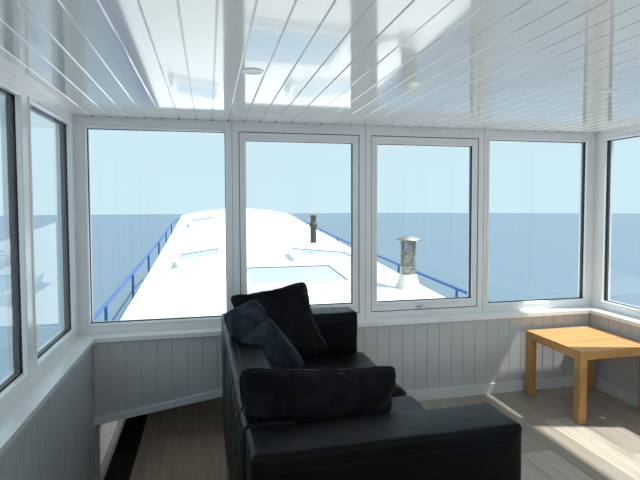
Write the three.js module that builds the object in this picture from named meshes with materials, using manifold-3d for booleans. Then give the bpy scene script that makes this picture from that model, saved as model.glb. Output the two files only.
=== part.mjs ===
import * as THREE from 'three'
import Module from 'manifold-3d'
import { mergeVertices } from 'three/addons/utils/BufferGeometryUtils.js'

// A steel houseboat converted from a barge, with a glazed deckhouse aft and a long low cabin
// roof ahead of it. Millimetres: +X is starboard, +Y the bow and +Z up. The origin lies under
// the middle of the flat bottom.

// Running gap between pieces that touch, and the clearance around a moving sash, door or lid
const GAP = 0.3
const SWING = 5

// Hull
const HALF_BEAM = 2400
const SHELL = 100
const BOTTOM = 150
const BILGE = 350
const BULWARK = 130
const STEM_HALF = 45
const COUNTER = { start: -8200, knee: -10000, height: 800, end: -11900, endHeight: 950 }
const ENDS = {
  stern: {
    way: -1, deckFrom: -9400, deckLength: 3050, keelFrom: -9400, keelLength: 2500,
    deckFull: 2.3, keelFull: 2.3,
  },
  bow: {
    way: 1, deckFrom: 7400, deckLength: 5047, keelFrom: 7400, keelLength: 4350,
    deckFull: 2.4, keelFull: 1.8,
  },
}
const TAPER_SHARES = [0, 0.22, 0.4, 0.55, 0.67, 0.77, 0.85, 0.91, 0.95, 0.975, 0.992, 1]
const STRAKE = { proud: 50, below: 30, above: 115 }

// Decks: flat aft, rising from the deckhouse to the bow
const DECK_LEVEL = 1300
const DECK_PLATE = 60
const DECKHOUSE_FRONT = -5600
const SHEER = { slope: 0.0271, curve: 1.46e-6 }
const STERN_RISE = { from: -10300, curve: 2e-5 }
const STATIONS = [-12900, -11500, -10300, -5800, -3600, -1500, 600, 2700, 4800, 6900, 9000, 10900, 12900]

// Trunk cabin and its cambered roof
const CABIN = { outer: 1950, wall: 60, front: 9640 }
const ROOF = { half: 2000, plate: 60, camber: 250, shoulder: 45, level: 2000, slope: 0.055, curve: 7e-7 }
const CABIN_WINDOW = { width: 900, height: 340, radius: 70, rise: 230, first: -4300, pitch: 2150, count: 7 }

// Deckhouse: inside faces of the window frames, and the levels that the walls are built to
const ROOM = { half: 1806.5, front: DECKHOUSE_FRONT, aft: DECKHOUSE_FRONT - 4060 }
const FLOOR = { top: 2040, plate: 60 }
const SILL = { bottom: 2575, top: 2601, nose: 110, drip: 30 }
const HEAD = 3911
const WALL = { inboard: 85, outboard: 80 }
const FRAME = { depth: 70, bottom: 2661, top: 3843 }
const FRONT_UNIT = { count: 4, corner: 35, jamb: 42, end: 30 }
const SIDE_PANE = { count: 5, corner: 100, width: 649, mullion: 118 }
const SASH = { bottom: 2648, top: 3842, stile: 38, head: 49, foot: 58, depth: 55, inset: 5 }
const GLASS = { depth: 24, bite: 12 }
const SASH_PIN = { out: 11, down: 8, radius: 7, leaf: 60, lug: 30 }
const DOOR = {
  half: 400, bottom: 2045, top: 3842, depth: 50, stile: 95, glassBottom: 2900, post: 38.3, free: 4,
}
const DOOR_PIN = { radius: 8, out: 20, leaf: 90, levels: [2250, 2950, 3650] }
const AFT_PANE = { inner: 530, outer: 1680 }
const CEILING = { plate: 19.7, pitch: 100, first: 100, groove: 8, depth: 4 }
const TOP = { half: 1965, front: -5430, aft: -9830, edge: 3990, crown: 4085, radius: 30 }

// Way down from the deckhouse into the cabin
const STAIR = { port: -1721.5, starboard: -945, top: -7500, going: 240, steps: 8, sole: 150, board: 40 }
const COMPANIONWAY = { lintelPort: 2083, lintelStarboard: 2197 }

// Running gear
const SHAFT = {
  height: 420, hub: -10130, inner: -9500, radius: 35, hubRadius: 60, hubLength: 180,
  blade: 280, blades: 4, pitch: 0.95, thick: 14,
}
const RUDDER = {
  stock: -10650, radius: 40, leading: -10530, trailing: -11330, bottom: 120, top: 760, half: 30,
}
const SKEG = { half: 40, shoe: 80, heel: -11000, post: -9800 }

// Roof fittings: middle and size of each rooflight on the cambered roof, stove flue and vent cowl
const COAMING = { wall: 40, height: 60 }
const LID = { overhang: 12, height: 45, rim: 60, glass: 15, glassLow: 15 }
const ROOFLIGHTS = [
  { name: 'rooflight_main', x: 0, y: -2690, width: 1240, length: 1120 },
  { name: 'rooflight_starboard', x: 770, y: -860, width: 1040, length: 700 },
  { name: 'rooflight_port', x: -1180, y: -370, width: 720, length: 700 },
  { name: 'rooflight_port_forward', x: -1200, y: 5700, width: 720, length: 900 },
]
const FLUE = { x: 958, y: 653, height: 622 }
const COWL = { x: 1479, y: -2820, height: 710 }

// Fit-out of the deckhouse
const SETTEE = {
  x: -945, y: -7552, turn: 0.018, depth: 820, length: 1775, height: 700, arm: 195, backDepth: 170,
  seat: 300, seatTop: 440, seatNose: 22, foot: 60,
}
const SCATTER_CUSHIONS = [
  { name: 'scatter_cushion_far', size: [434, 120, 452], at: [308, 1376, 665], lean: -0.68, roll: -0.19 },
  { name: 'scatter_cushion_middle', size: [230, 180, 430], at: [171, 1193, 633], lean: -0.62, roll: -0.54 },
  { name: 'scatter_cushion_near', size: [520, 170, 340], at: [285, 325, 625], lean: 0, roll: 0 },
]
const TABLE = { x: 1407, y: -6004, size: 530, height: 450, top: 20, leg: 52, apron: 36 }

// Guard rails and mooring bitts
const RAIL = { height: 860, mid: 430, radius: 21, post: 19, inset: 200, from: -9000, to: 9700, posts: 10 }
const BITTS = [
  { name: 'bitts_stern_port', x: -1400, y: -10900 },
  { name: 'bitts_stern_starboard', x: 1400, y: -10900 },
  { name: 'bitts_bow_port', x: -900, y: 10700 },
  { name: 'bitts_bow_starboard', x: 900, y: 10700 },
]
const BITT = { radius: 80, height: 420, spacing: 420, bar: 35 }
const WINDLASS = { y: 11150, axle: 400, cheek: 40, half: 330, drum: 130, gear: 210, warp: 90 }

const COLOURS = {
  hull: [0x23282e, 0.5, 0.3],
  blue: [0x1f4f8f, 0.45, 0.3],
  deck: [0x8a8f90, 0.8, 0.1],
  white: [0xeef0f1, 0.35, 0],
  frame: [0xf2f3f4, 0.25, 0],
  wainscot: [0x9aa0a6, 0.55, 0],
  glass: [0xbfd3de, 0.05, 0],
  oak: [0xc08a4a, 0.5, 0],
  floor: [0x9c8f80, 0.45, 0],
  leather: [0x14161c, 0.4, 0],
  steel: [0x6d6f70, 0.45, 0.8],
  flue: [0x3c3a38, 0.6, 0.5],
  bronze: [0xa67c3d, 0.35, 0.9],
}

const wasm = await Module()
wasm.setup()

// Solids from closed meshes, and back

const toSolid = (geometry) => {
  const bare = geometry.clone()
  bare.deleteAttribute('normal')
  bare.deleteAttribute('uv')
  const shell = mergeVertices(bare, 1e-3)
  return new wasm.Manifold(new wasm.Mesh({
    numProp: 3,
    vertProperties: new Float32Array(shell.attributes.position.array),
    triVerts: new Uint32Array(shell.index.array),
  }))
}

const toGeometry = (solid) => {
  const mesh = solid.getMesh()
  const geometry = new THREE.BufferGeometry()
  geometry.setAttribute('position', new THREE.BufferAttribute(mesh.vertProperties, 3))
  geometry.setIndex(new THREE.BufferAttribute(mesh.triVerts, 1))
  return geometry
}

const join = (solids) => solids.reduce((whole, piece) => whole.add(piece))
const cut = (solid, tools) => tools.reduce((whole, tool) => whole.subtract(tool), solid)

const block = (xs, ys, zs) => {
  const box = new THREE.BoxGeometry(xs[1] - xs[0], ys[1] - ys[0], zs[1] - zs[0])
  return toSolid(box.translate((xs[0] + xs[1]) / 2, (ys[0] + ys[1]) / 2, (zs[0] + zs[1]) / 2))
}

// An outline of [across, up] points, extruded from one value of the named axis to another
const prism = (outline, axis, from, to) => {
  const shape = outline instanceof THREE.Shape
    ? outline
    : new THREE.Shape(outline.map(([u, v]) => new THREE.Vector2(u, v)))
  const geometry = new THREE.ExtrudeGeometry(shape, {
    depth: to - from, bevelEnabled: false, curveSegments: 4,
  })
  geometry.translate(0, 0, from)
  if (axis === 'y') {
    geometry.applyMatrix4(new THREE.Matrix4().set(1, 0, 0, 0, 0, 0, 1, 0, 0, 1, 0, 0, 0, 0, 0, 1))
    return toSolid(turnedOut(geometry))
  }
  if (axis === 'x') {
    geometry.applyMatrix4(new THREE.Matrix4().set(0, 0, 1, 0, 1, 0, 0, 0, 0, 1, 0, 0, 0, 0, 0, 1))
    return toSolid(turnedOut(geometry))
  }
  return toSolid(geometry)
}

const rod = (radius, from, to, sides = 12) => {
  const start = new THREE.Vector3(...from)
  const way = new THREE.Vector3(...to).sub(start)
  const length = way.length()
  const geometry = new THREE.CylinderGeometry(radius, radius, length, sides)
  geometry.translate(0, length / 2, 0)
  const turn = new THREE.Quaternion().setFromUnitVectors(new THREE.Vector3(0, 1, 0), way.normalize())
  return toSolid(geometry.applyQuaternion(turn).translate(start.x, start.y, start.z))
}

const tube = (points, radius, steps, sides) => {
  const ring = []
  for (let k = 0; k < sides; k++) {
    const turn = 2 * Math.PI * k / sides
    ring.push(new THREE.Vector2(radius * Math.cos(turn), radius * Math.sin(turn)))
  }
  const path = new THREE.CatmullRomCurve3(points.map((point) => new THREE.Vector3(...point)))
  return toSolid(turnedOut(new THREE.ExtrudeGeometry(new THREE.Shape(ring), { steps, extrudePath: path })))
}

const roundedRectangle = (width, height, radius) => {
  const [w, h] = [width / 2, height / 2]
  const shape = new THREE.Shape()
  shape.moveTo(w, h - radius)
  shape.absarc(w - radius, h - radius, radius, 0, Math.PI / 2)
  shape.absarc(radius - w, h - radius, radius, Math.PI / 2, Math.PI)
  shape.absarc(radius - w, radius - h, radius, Math.PI, 1.5 * Math.PI)
  shape.absarc(w - radius, radius - h, radius, 1.5 * Math.PI, 2 * Math.PI)
  return shape
}

const signedVolume = (geometry) => {
  const points = geometry.attributes.position
  const [a, b, c] = [new THREE.Vector3(), new THREE.Vector3(), new THREE.Vector3()]
  let volume = 0
  for (let i = 0; i < geometry.index.count; i += 3) {
    a.fromBufferAttribute(points, geometry.index.getX(i))
    b.fromBufferAttribute(points, geometry.index.getX(i + 1))
    c.fromBufferAttribute(points, geometry.index.getX(i + 2))
    volume += a.dot(b.cross(c)) / 6
  }
  return volume
}

// The same mesh with its faces pointing out
const turnedOut = (geometry) => {
  if (!geometry.index) {
    geometry.setIndex([...Array(geometry.attributes.position.count).keys()])
  }
  if (signedVolume(geometry) < 0) {
    const order = geometry.index.array
    for (let i = 0; i < order.length; i += 3) {
      [order[i], order[i + 1]] = [order[i + 1], order[i]]
    }
  }
  return geometry
}

// A closed skin over rings of equally many points, the first and last ring capped flat
const loft = (rings) => {
  const count = rings[0].length
  const index = []
  for (let r = 0; r < rings.length - 1; r++) {
    for (let k = 0; k < count; k++) {
      const [a, b] = [r * count + k, r * count + ((k + 1) % count)]
      index.push(a, b, b + count, a, b + count, a + count)
    }
  }
  const cap = (base, ring, forward) => {
    const flat = ring.map((p) => new THREE.Vector2(p.x, p.z))
    const ringWay = Math.sign(THREE.ShapeUtils.area(flat))
    for (const [a, b, c] of THREE.ShapeUtils.triangulateShape(flat, [])) {
      const way = Math.sign(THREE.ShapeUtils.area([flat[a], flat[b], flat[c]])) * ringWay
      index.push(...((way > 0) === forward ? [base + a, base + b, base + c] : [base + a, base + c, base + b]))
    }
  }
  cap(0, rings[0], false)
  cap((rings.length - 1) * count, rings[rings.length - 1], true)
  const geometry = new THREE.BufferGeometry()
  const positions = rings.flat().flatMap((p) => [p.x, p.y, p.z])
  geometry.setAttribute('position', new THREE.Float32BufferAttribute(positions, 3))
  geometry.setIndex(index)
  return toSolid(turnedOut(geometry))
}

// Heights of the deck, the counter's underside and the roof along the boat

const deckHeight = (y) => {
  const ahead = Math.max(0, y - DECKHOUSE_FRONT)
  const astern = Math.max(0, STERN_RISE.from - y)
  return DECK_LEVEL + SHEER.slope * ahead + SHEER.curve * ahead ** 2 + STERN_RISE.curve * astern ** 2
}

const keelHeight = (y) => {
  const { start, knee, height, end, endHeight } = COUNTER
  if (y > start) return 0
  if (y > knee) return height * (start - y) / (start - knee)
  return height + (endHeight - height) * (knee - y) / (knee - end)
}

const roofEdge = (y) => {
  const ahead = y - DECKHOUSE_FRONT
  return ROOF.level + ROOF.slope * ahead + ROOF.curve * ahead * Math.abs(ahead)
}

const roofTop = (x, y) => roofEdge(y) + ROOF.camber * (1 - (x / ROOF.half) ** 2)

// Hull form: one ring of points around each section, set in by inset from the outer plating

const endPoint = (end, level, share, inset) => {
  const full = end[`${level}Full`]
  const wide = (HALF_BEAM - inset) * (1 - share ** full) ** (1 / full)
  const y = end[`${level}From`] + end.way * share * (end[`${level}Length`] - inset)
  return { x: Math.max(wide, STEM_HALF), y }
}

const hullRing = (deck, keel, lift, rise) => {
  const low = keelHeight(keel.y) + lift
  const rim = new THREE.Vector3(deck.x, deck.y, deckHeight(deck.y) + BULWARK)
  const bend = Math.min(BILGE, keel.x * 0.8, (rim.z - low) * 0.3)
  const turnOfBilge = new THREE.Vector3(keel.x, keel.y, low + bend)
  const above = rise / (rim.z - turnOfBilge.z)
  const side = [turnOfBilge.clone().lerp(rim, 1 + above), turnOfBilge]
  for (let step = 1; step <= 3; step++) {
    const turn = step * Math.PI / 6
    const x = keel.x - bend + bend * Math.cos(turn)
    side.push(new THREE.Vector3(x, keel.y, low + bend - bend * Math.sin(turn)))
  }
  const mirrored = side.map((p) => new THREE.Vector3(-p.x, p.y, p.z)).reverse()
  return [...side, ...mirrored]
}

// The form of the hull, its bottom lifted by lift and its sides carried up past the rim by rise
const hullForm = (inset, lift, rise) => {
  const endRings = (end) => TAPER_SHARES.map((share) => hullRing(
    endPoint(end, 'deck', share, inset),
    endPoint(end, 'keel', share, inset),
    lift, rise,
  ))
  const middle = [COUNTER.start, ...STATIONS.filter((y) => y > COUNTER.start && y < ENDS.bow.deckFrom)]
    .map((y) => hullRing({ x: HALF_BEAM - inset, y }, { x: HALF_BEAM - inset, y }, lift, rise))
  return loft([...endRings(ENDS.stern).reverse(), ...middle, ...endRings(ENDS.bow)])
}

// Spaces between surfaces that run the length of the boat

const alongBoat = (section) => loft(
  STATIONS.map((y) => section(y).map(([x, z]) => new THREE.Vector3(x, y, z))),
)

const WIDE = 3000
const HIGH = 6000
const LOW = -1000

const band = (low, high) => alongBoat((y) => [
  [-WIDE, low(y)], [WIDE, low(y)], [WIDE, high(y)], [-WIDE, high(y)],
])
const aboveDeck = (gap) => band((y) => deckHeight(y) + gap, () => HIGH)

const roofArc = (y, drop, half) => {
  const points = []
  for (let k = -5; k <= 5; k++) {
    const x = half * k / 5
    points.push([x, roofTop(x, y) - drop])
  }
  return points
}

const belowRoof = (gap) => alongBoat((y) => {
  const arc = roofArc(y, ROOF.plate + gap, ROOF.half)
  return [[-WIDE, LOW], [WIDE, LOW], [WIDE, arc[10][1]], ...arc.slice().reverse(), [-WIDE, arc[0][1]]]
})

const aboveRoof = (gap) => alongBoat((y) => {
  const arc = roofArc(y, -gap, ROOF.half - ROOF.shoulder)
  return [[-WIDE, arc[0][1]], ...arc, [WIDE, arc[10][1]], [WIDE, HIGH], [-WIDE, HIGH]]
})

// Hull with its skeg, the stern tube, the rudder's heel bearing and the boss for its stock

const makeHull = () => {
  const shell = hullForm(0, 0, 0).subtract(hullForm(SHELL, BOTTOM, 500))
  const profile = [
    [-8050, 0], [SKEG.heel, 0], [SKEG.heel, SKEG.shoe], [SKEG.post, SKEG.shoe],
    [SKEG.post, 750], [-9400, 600], [-8050, 60],
  ]
  const skeg = prism(profile, 'x', -SKEG.half, SKEG.half)
  const tube = rod(SHAFT.radius * 2, [0, SKEG.post - 120, SHAFT.height], [0, -9300, SHAFT.height], 24)
  const boss = rod(130, [0, RUDDER.stock, 880], [0, RUDDER.stock, 1020], 24)
  const heel = rod(62, [0, RUDDER.stock, 0], [0, RUDDER.stock, SKEG.shoe], 24)
  const bores = [
    rod(SHAFT.radius + 0.6, [0, SKEG.post - 200, SHAFT.height], [0, SHAFT.inner, SHAFT.height], 24),
    rod(RUDDER.radius + 0.6, [0, RUDDER.stock, 500], [0, RUDDER.stock, 1100], 24),
    rod(25.6, [0, RUDDER.stock, 40], [0, RUDDER.stock, 200], 24),
  ]
  return cut(join([shell, skeg, tube, boss, heel]), bores)
}

const makeStrake = () => {
  const ring = hullForm(-STRAKE.proud, 0, 0).subtract(hullForm(-GAP, 0, 0))
  return ring.intersect(band((y) => deckHeight(y) - STRAKE.below, (y) => deckHeight(y) + STRAKE.above))
}

const makeDeck = () => {
  const plate = band((y) => deckHeight(y) - DECK_PLATE, (y) => deckHeight(y))
  const inside = hullForm(SHELL + GAP, BOTTOM, 500)
  const well = block([-1850, 1850], [ROOM.aft + 60, CABIN.front - 100], [0, HIGH])
  return plate.intersect(inside).subtract(well)
}

const makeSole = () => {
  const slab = block([-WIDE, WIDE], [DECKHOUSE_FRONT + 150, 10400], [BOTTOM + GAP, BOTTOM + 24])
  return slab.intersect(hullForm(SHELL + 60, BOTTOM, 0))
}

// Rudder and propeller

const makeRudder = () => {
  const { stock, radius, leading, trailing, bottom, top, half } = RUDDER
  const blade = prism([
    [0, leading], [-half, leading - 90], [-half, leading - 380], [-6, trailing], [6, trailing],
    [half, leading - 380], [half, leading - 90],
  ], 'z', bottom, top)
  const shaft = rod(radius, [0, stock, bottom - 30], [0, stock, 1130], 24)
  const pintle = rod(25, [0, stock, 50], [0, stock, bottom], 24)
  const collar = rod(110, [0, stock, 1020 + GAP], [0, stock, 1060], 24)
  return join([blade, shaft, pintle, collar])
}

const makePropeller = () => {
  const { height, hub, inner, radius, hubRadius, hubLength, blade, blades, pitch, thick } = SHAFT
  const boss = rod(hubRadius, [0, hub - hubLength / 2, height], [0, hub + hubLength / 2, height], 24)
  const shaft = rod(radius, [0, hub, height], [0, inner - 20, height], 24)
  const leaf = new THREE.Shape()
  leaf.moveTo(-25, 30)
  leaf.bezierCurveTo(-150, 110, -150, blade - 20, 0, blade)
  leaf.bezierCurveTo(150, blade - 20, 150, 110, 25, 30)
  const solids = []
  for (let k = 0; k < blades; k++) {
    const geometry = new THREE.ExtrudeGeometry(leaf, {
      depth: thick, bevelEnabled: false, curveSegments: 8,
    })
    geometry.translate(0, 0, -thick / 2).rotateY(pitch).rotateX(Math.PI / 2)
    geometry.rotateY(k * 2 * Math.PI / blades)
    solids.push(toSolid(turnedOut(geometry.translate(0, hub, height))))
  }
  return join([boss, shaft, ...solids])
}

const makeEngine = () => block([-400, 400], [-8050, -6650], [BOTTOM + GAP, 1150])

// Trunk cabin: sides and front between the deck and the roof, their windows cut through

const cabinShell = (xs, ys) => block(xs, ys, [0, HIGH]).intersect(aboveDeck(GAP)).intersect(belowRoof(GAP))

const windowHole = (turnZ, x, y, z) => {
  const shape = roundedRectangle(CABIN_WINDOW.width, CABIN_WINDOW.height, CABIN_WINDOW.radius)
  const hole = new THREE.ExtrudeGeometry(shape, { depth: 400, bevelEnabled: false, curveSegments: 3 })
  hole.translate(0, 0, -200).rotateX(Math.PI / 2).rotateZ(turnZ)
  return toSolid(turnedOut(hole.translate(x, y, z)))
}

const makeCabinWalls = () => {
  const { outer, wall, front } = CABIN
  const from = DECKHOUSE_FRONT + WALL.outboard + GAP
  const shell = cabinShell([-outer, outer], [from, front])
  const space = block([wall - outer, outer - wall], [from - 100, front - wall], [0, HIGH])
  const middle = (y) => deckHeight(y) + CABIN_WINDOW.rise + CABIN_WINDOW.height / 2
  const windows = [-1, 1].map((side) => windowHole(0, side * 900, front, middle(front) + 80))
  for (let k = 0; k < CABIN_WINDOW.count; k++) {
    const y = CABIN_WINDOW.first + k * CABIN_WINDOW.pitch
    windows.push(...[-1, 1].map((side) => windowHole(Math.PI / 2, side * outer, y, middle(y))))
  }
  return cut(shell, [space, ...windows])
}

// A rooflight's own axes: across and along the roof at its middle, and straight out of it
const roofPlace = (x, y) => {
  const step = 1
  const across = new THREE.Vector3(step, 0, roofTop(x + step / 2, y) - roofTop(x - step / 2, y)).normalize()
  const along = new THREE.Vector3(0, step, roofTop(x, y + step / 2) - roofTop(x, y - step / 2)).normalize()
  const out = across.clone().cross(along).normalize()
  along.copy(out).cross(across)
  return new THREE.Matrix4().makeBasis(across, along, out).setPosition(x, y, roofTop(x, y))
}

const localBlock = (place, width, length, low, high) => {
  const box = new THREE.BoxGeometry(width, length, high - low).translate(0, 0, (low + high) / 2)
  return toSolid(box.applyMatrix4(place))
}

const makeCabinRoof = () => {
  const { half, plate, shoulder, camber } = ROOF
  const slab = alongBoat((y) => {
    const edge = roofEdge(y)
    const rim = camber * (1 - ((half - shoulder) / half) ** 2)
    const top = roofArc(y, 0, half - shoulder)
    const under = roofArc(y, plate, half)
    return [
      ...under, [half, edge - 28], [half - 13, edge + rim - 12], ...top.reverse(),
      [13 - half, edge + rim - 12], [-half, edge - 28],
    ]
  }).intersect(block([-WIDE, WIDE], [DECKHOUSE_FRONT + WALL.outboard + GAP, CABIN.front + 60], [LOW, HIGH]))
  const { wall, height } = COAMING
  const rims = []
  const holes = []
  for (const light of ROOFLIGHTS) {
    const place = roofPlace(light.x, light.y)
    rims.push(localBlock(place, light.width, light.length, -60, height))
    holes.push(localBlock(place, light.width - 2 * wall, light.length - 2 * wall, -300, 300))
  }
  const built = cut(join([slab, ...rims.map((rim) => rim.subtract(belowRoof(0)))]), holes)
  const { x, y } = FLUE
  return cut(built, [rod(64, [x, y, roofTop(x, y) - 300], [x, y, roofTop(x, y) + 300], 24)])
}

const makeLid = ({ x, y, width, length }) => {
  const place = roofPlace(x, y)
  const low = COAMING.height + GAP
  const high = COAMING.height + LID.height
  const [w, l] = [width + 2 * LID.overhang, length + 2 * LID.overhang]
  const ring = localBlock(place, w, l, low, high)
  const light = localBlock(place, w - 2 * LID.rim, l - 2 * LID.rim, low - 100, high + 100)
  return ring.subtract(light).subtract(makePane({ x, y, width, length }, GAP))
}

const makePane = ({ x, y, width, length }, grow = 0) => {
  const low = COAMING.height + LID.glassLow
  const [w, l] = [width + 2 * LID.overhang, length + 2 * LID.overhang]
  const rim = 2 * (LID.rim - GLASS.bite) - 2 * grow
  return localBlock(roofPlace(x, y), w - rim, l - rim, low - grow, low + LID.glass + grow)
}

// Stove flue and galvanised vent cowl, turned and cut to the slope of the roof

const turned = (profile, x, y, z) => {
  const closed = [...profile, profile[0]].map(([r, h]) => new THREE.Vector2(r, h))
  const geometry = new THREE.LatheGeometry(closed, 24)
  return toSolid(turnedOut(geometry.rotateX(Math.PI / 2).translate(x, y, z)))
}

const makeFlue = () => {
  const { x, y, height } = FLUE
  const profile = [
    [0, -150], [145, -150], [145, 22], [100, 60], [66, 75], [60, 380], [76, 390], [76, 450], [54, 462],
    [52, height - 50], [66, height - 40], [66, height - 18], [0, height],
  ]
  const flange = turned(profile, x, y, roofTop(x, y))
  return flange.intersect(aboveRoof(GAP))
}

const makeCowl = () => {
  const { x, y, height } = COWL
  const profile = [
    [0, -200], [178, -200], [178, 0], [165, 20], [112, 195], [97, 215], [97, 300], [102, 305],
    [102, 318], [97, 323], [97, height - 62], [162, height - 58], [162, height - 50], [0, height],
  ]
  return turned(profile, x, y, roofTop(x, y)).intersect(aboveRoof(GAP))
}

// Deckhouse: floor, lower walls and the stair down into the cabin

const wallFaces = {
  inner: ROOM.half - WALL.inboard,
  outer: ROOM.half + WALL.outboard,
  front: ROOM.front - WALL.inboard,
  frontOut: ROOM.front + WALL.outboard,
  aft: ROOM.aft + WALL.inboard,
  aftOut: ROOM.aft - WALL.outboard,
}

const makeFloor = () => {
  const { inner, front, aft } = wallFaces
  const levels = [FLOOR.top - FLOOR.plate, FLOOR.top]
  const slab = block([GAP - inner, inner - GAP], [aft + GAP, front - GAP], levels)
  return slab.subtract(block([-WIDE, STAIR.starboard], [STAIR.top, 0], [0, HIGH]))
}

const makeFrontWall = () => {
  const { inner, outer, front, frontOut } = wallFaces
  const ys = [front, frontOut]
  const under = deckHeight(ys[0]) - DECK_PLATE - GAP
  const bulkhead = block([-WIDE, WIDE], ys, [0, under]).intersect(hullForm(SHELL + GAP, BOTTOM + GAP, 0))
  const neck = block([GAP - 1850, 1850 - GAP], ys, [under - 50, DECK_LEVEL + 50])
  const wall = block([-outer, outer], ys, [0, SILL.bottom - GAP]).intersect(aboveDeck(GAP))
  const { lintelPort, lintelStarboard } = COMPANIONWAY
  const way = prism([
    [-inner, 0], [STAIR.starboard, 0], [STAIR.starboard, lintelStarboard], [-inner, lintelPort],
  ], 'y', ys[0] - 50, ys[1] + 50)
  return join([bulkhead, neck, wall]).subtract(way)
}

const makeSideWall = (side) => {
  const { inner, outer, front, aft } = wallFaces
  const xs = side > 0 ? [inner, outer] : [-outer, -inner]
  return block(xs, [aft + GAP, front - GAP], [0, SILL.bottom - GAP]).intersect(aboveDeck(GAP))
}

const makeAftWall = () => {
  const { outer, aft, aftOut } = wallFaces
  const gate = DOOR.half + DOOR.post
  const wall = block([-outer, outer], [aftOut, aft], [DECK_LEVEL + GAP, SILL.bottom - GAP])
  return wall.subtract(block([-gate, gate], [aftOut - 50, aft + 50], [DOOR.bottom - 10, HIGH]))
}

const makeSill = () => {
  const { outer, frontOut, aftOut } = wallFaces
  const nose = ROOM.half - SILL.nose
  const board = block(
    [-outer - SILL.drip, outer + SILL.drip],
    [aftOut - SILL.drip, frontOut + SILL.drip],
    [SILL.bottom, SILL.top],
  )
  const room = block([-nose, nose], [ROOM.aft + SILL.nose, ROOM.front - SILL.nose], [0, HIGH])
  const gate = DOOR.half + DOOR.post
  return cut(board, [room, block([-gate, gate], [aftOut - 100, ROOM.aft + 200], [0, HIGH])])
}

const makeStair = () => {
  const { port, starboard, top, going, steps, sole, board } = STAIR
  const rise = (FLOOR.top - sole) / steps
  const outline = [[top, sole + GAP]]
  for (let k = 1; k < steps; k++) {
    const level = FLOOR.top - rise * k
    outline.push([top + going * (k - 1), level], [top + going * k, level])
  }
  outline.push([top + going * (steps - 1), sole + GAP])
  const treads = prism(outline, 'x', port + GAP, starboard + 20)
  const height = [sole + GAP, FLOOR.top - FLOOR.plate - GAP]
  const along = [top - board, wallFaces.front - GAP]
  const boards = [
    block([starboard, starboard + board], along, height),
    block([port - board, port + 20], along, [sole + GAP, DECK_LEVEL - DECK_PLATE]),
    block([port + GAP, starboard + board], [top - board, top + 1], height),
  ]
  return join([treads, ...boards])
}

// Window frames: each is one welded piece, with its fixed panes in slots

const frontSeam = (k) => (ROOM.half - FRONT_UNIT.corner) * (2 * k / FRONT_UNIT.count - 1)
const FRONT_SASHES = [1, 2]
const GLASS_MIDDLE = ROOM.front + FRAME.depth / 2

const frontLight = (k) => {
  const { count, jamb, end } = FRONT_UNIT
  return [frontSeam(k) + (k === 0 ? end : jamb), frontSeam(k + 1) - (k === count - 1 ? end : jamb)]
}

const frontPane = (k, grow) => {
  const bite = GLASS.bite + grow
  return block(
    [frontLight(k)[0] - bite, frontLight(k)[1] + bite],
    [GLASS_MIDDLE - GLASS.depth / 2 - grow, GLASS_MIDDLE + GLASS.depth / 2 + grow],
    [FRAME.bottom - bite, FRAME.top + bite],
  )
}

const sashPin = { y: ROOM.front + SASH.inset + SASH.depth + SASH_PIN.out, z: SASH.top - SASH_PIN.down }

const frontHinge = (k, lug) => {
  const { radius, leaf, lug: arm } = SASH_PIN
  const parts = []
  for (const share of [0.2, 0.8]) {
    const x = frontSeam(k) + share * (frontSeam(k + 1) - frontSeam(k))
    const bars = lug ? [[x - leaf / 2 - arm, x - leaf / 2 - 0.5], [x + leaf / 2 + 0.5, x + leaf / 2 + arm]]
      : [[x - leaf / 2, x + leaf / 2]]
    for (const [from, to] of bars) {
      parts.push(rod(radius, [from, sashPin.y, sashPin.z], [to, sashPin.y, sashPin.z]))
      const ys = lug ? [sashPin.y - 2, sashPin.y + radius] : [sashPin.y - SASH_PIN.out - 1, sashPin.y]
      const zs = lug ? [sashPin.z, SASH.top + 25] : [sashPin.z - radius, sashPin.z + radius]
      parts.push(block([from, to], ys, zs))
    }
  }
  return join(parts)
}

const makeFrontFrame = () => {
  const outer = ROOM.half + FRAME.depth
  const frame = block([-outer, outer], [ROOM.front, ROOM.front + FRAME.depth], [SILL.top + GAP, HEAD])
  const tools = []
  const lugs = []
  for (let k = 0; k < FRONT_UNIT.count; k++) {
    const opens = FRONT_SASHES.includes(k)
    const zs = opens ? [SASH.bottom - SWING, SASH.top + SWING] : [FRAME.bottom, FRAME.top]
    tools.push(block(frontLight(k), [ROOM.front - 50, ROOM.front + 150], zs))
    if (opens) {
      lugs.push(frontHinge(k, true))
    } else {
      tools.push(frontPane(k, GAP))
    }
  }
  return cut(frame, tools).add(join(lugs))
}

const sashBlock = (k, ys, { stile = 0, head = 0, foot = 0 } = {}, bite = 0) => block(
  [frontLight(k)[0] + SWING + stile - bite, frontLight(k)[1] - SWING - stile + bite],
  ys,
  [SASH.bottom + foot - bite, SASH.top - head + bite],
)

const sashPane = (k, grow) => {
  const middle = ROOM.front + SASH.inset + SASH.depth / 2
  const half = GLASS.depth / 2 + grow
  return sashBlock(k, [middle - half, middle + half], SASH, GLASS.bite + grow)
}

const makeSash = (k) => {
  const face = ROOM.front + SASH.inset
  const frame = sashBlock(k, [face, face + SASH.depth])
  const light = sashBlock(k, [face - 50, face + SASH.depth + 50], SASH)
  return cut(frame, [light, sashPane(k, GAP)]).add(frontHinge(k, false))
}

const sidePaneSpan = (k) => {
  const from = ROOM.front - SIDE_PANE.corner - k * (SIDE_PANE.width + SIDE_PANE.mullion)
  return [from - SIDE_PANE.width, from]
}

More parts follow.
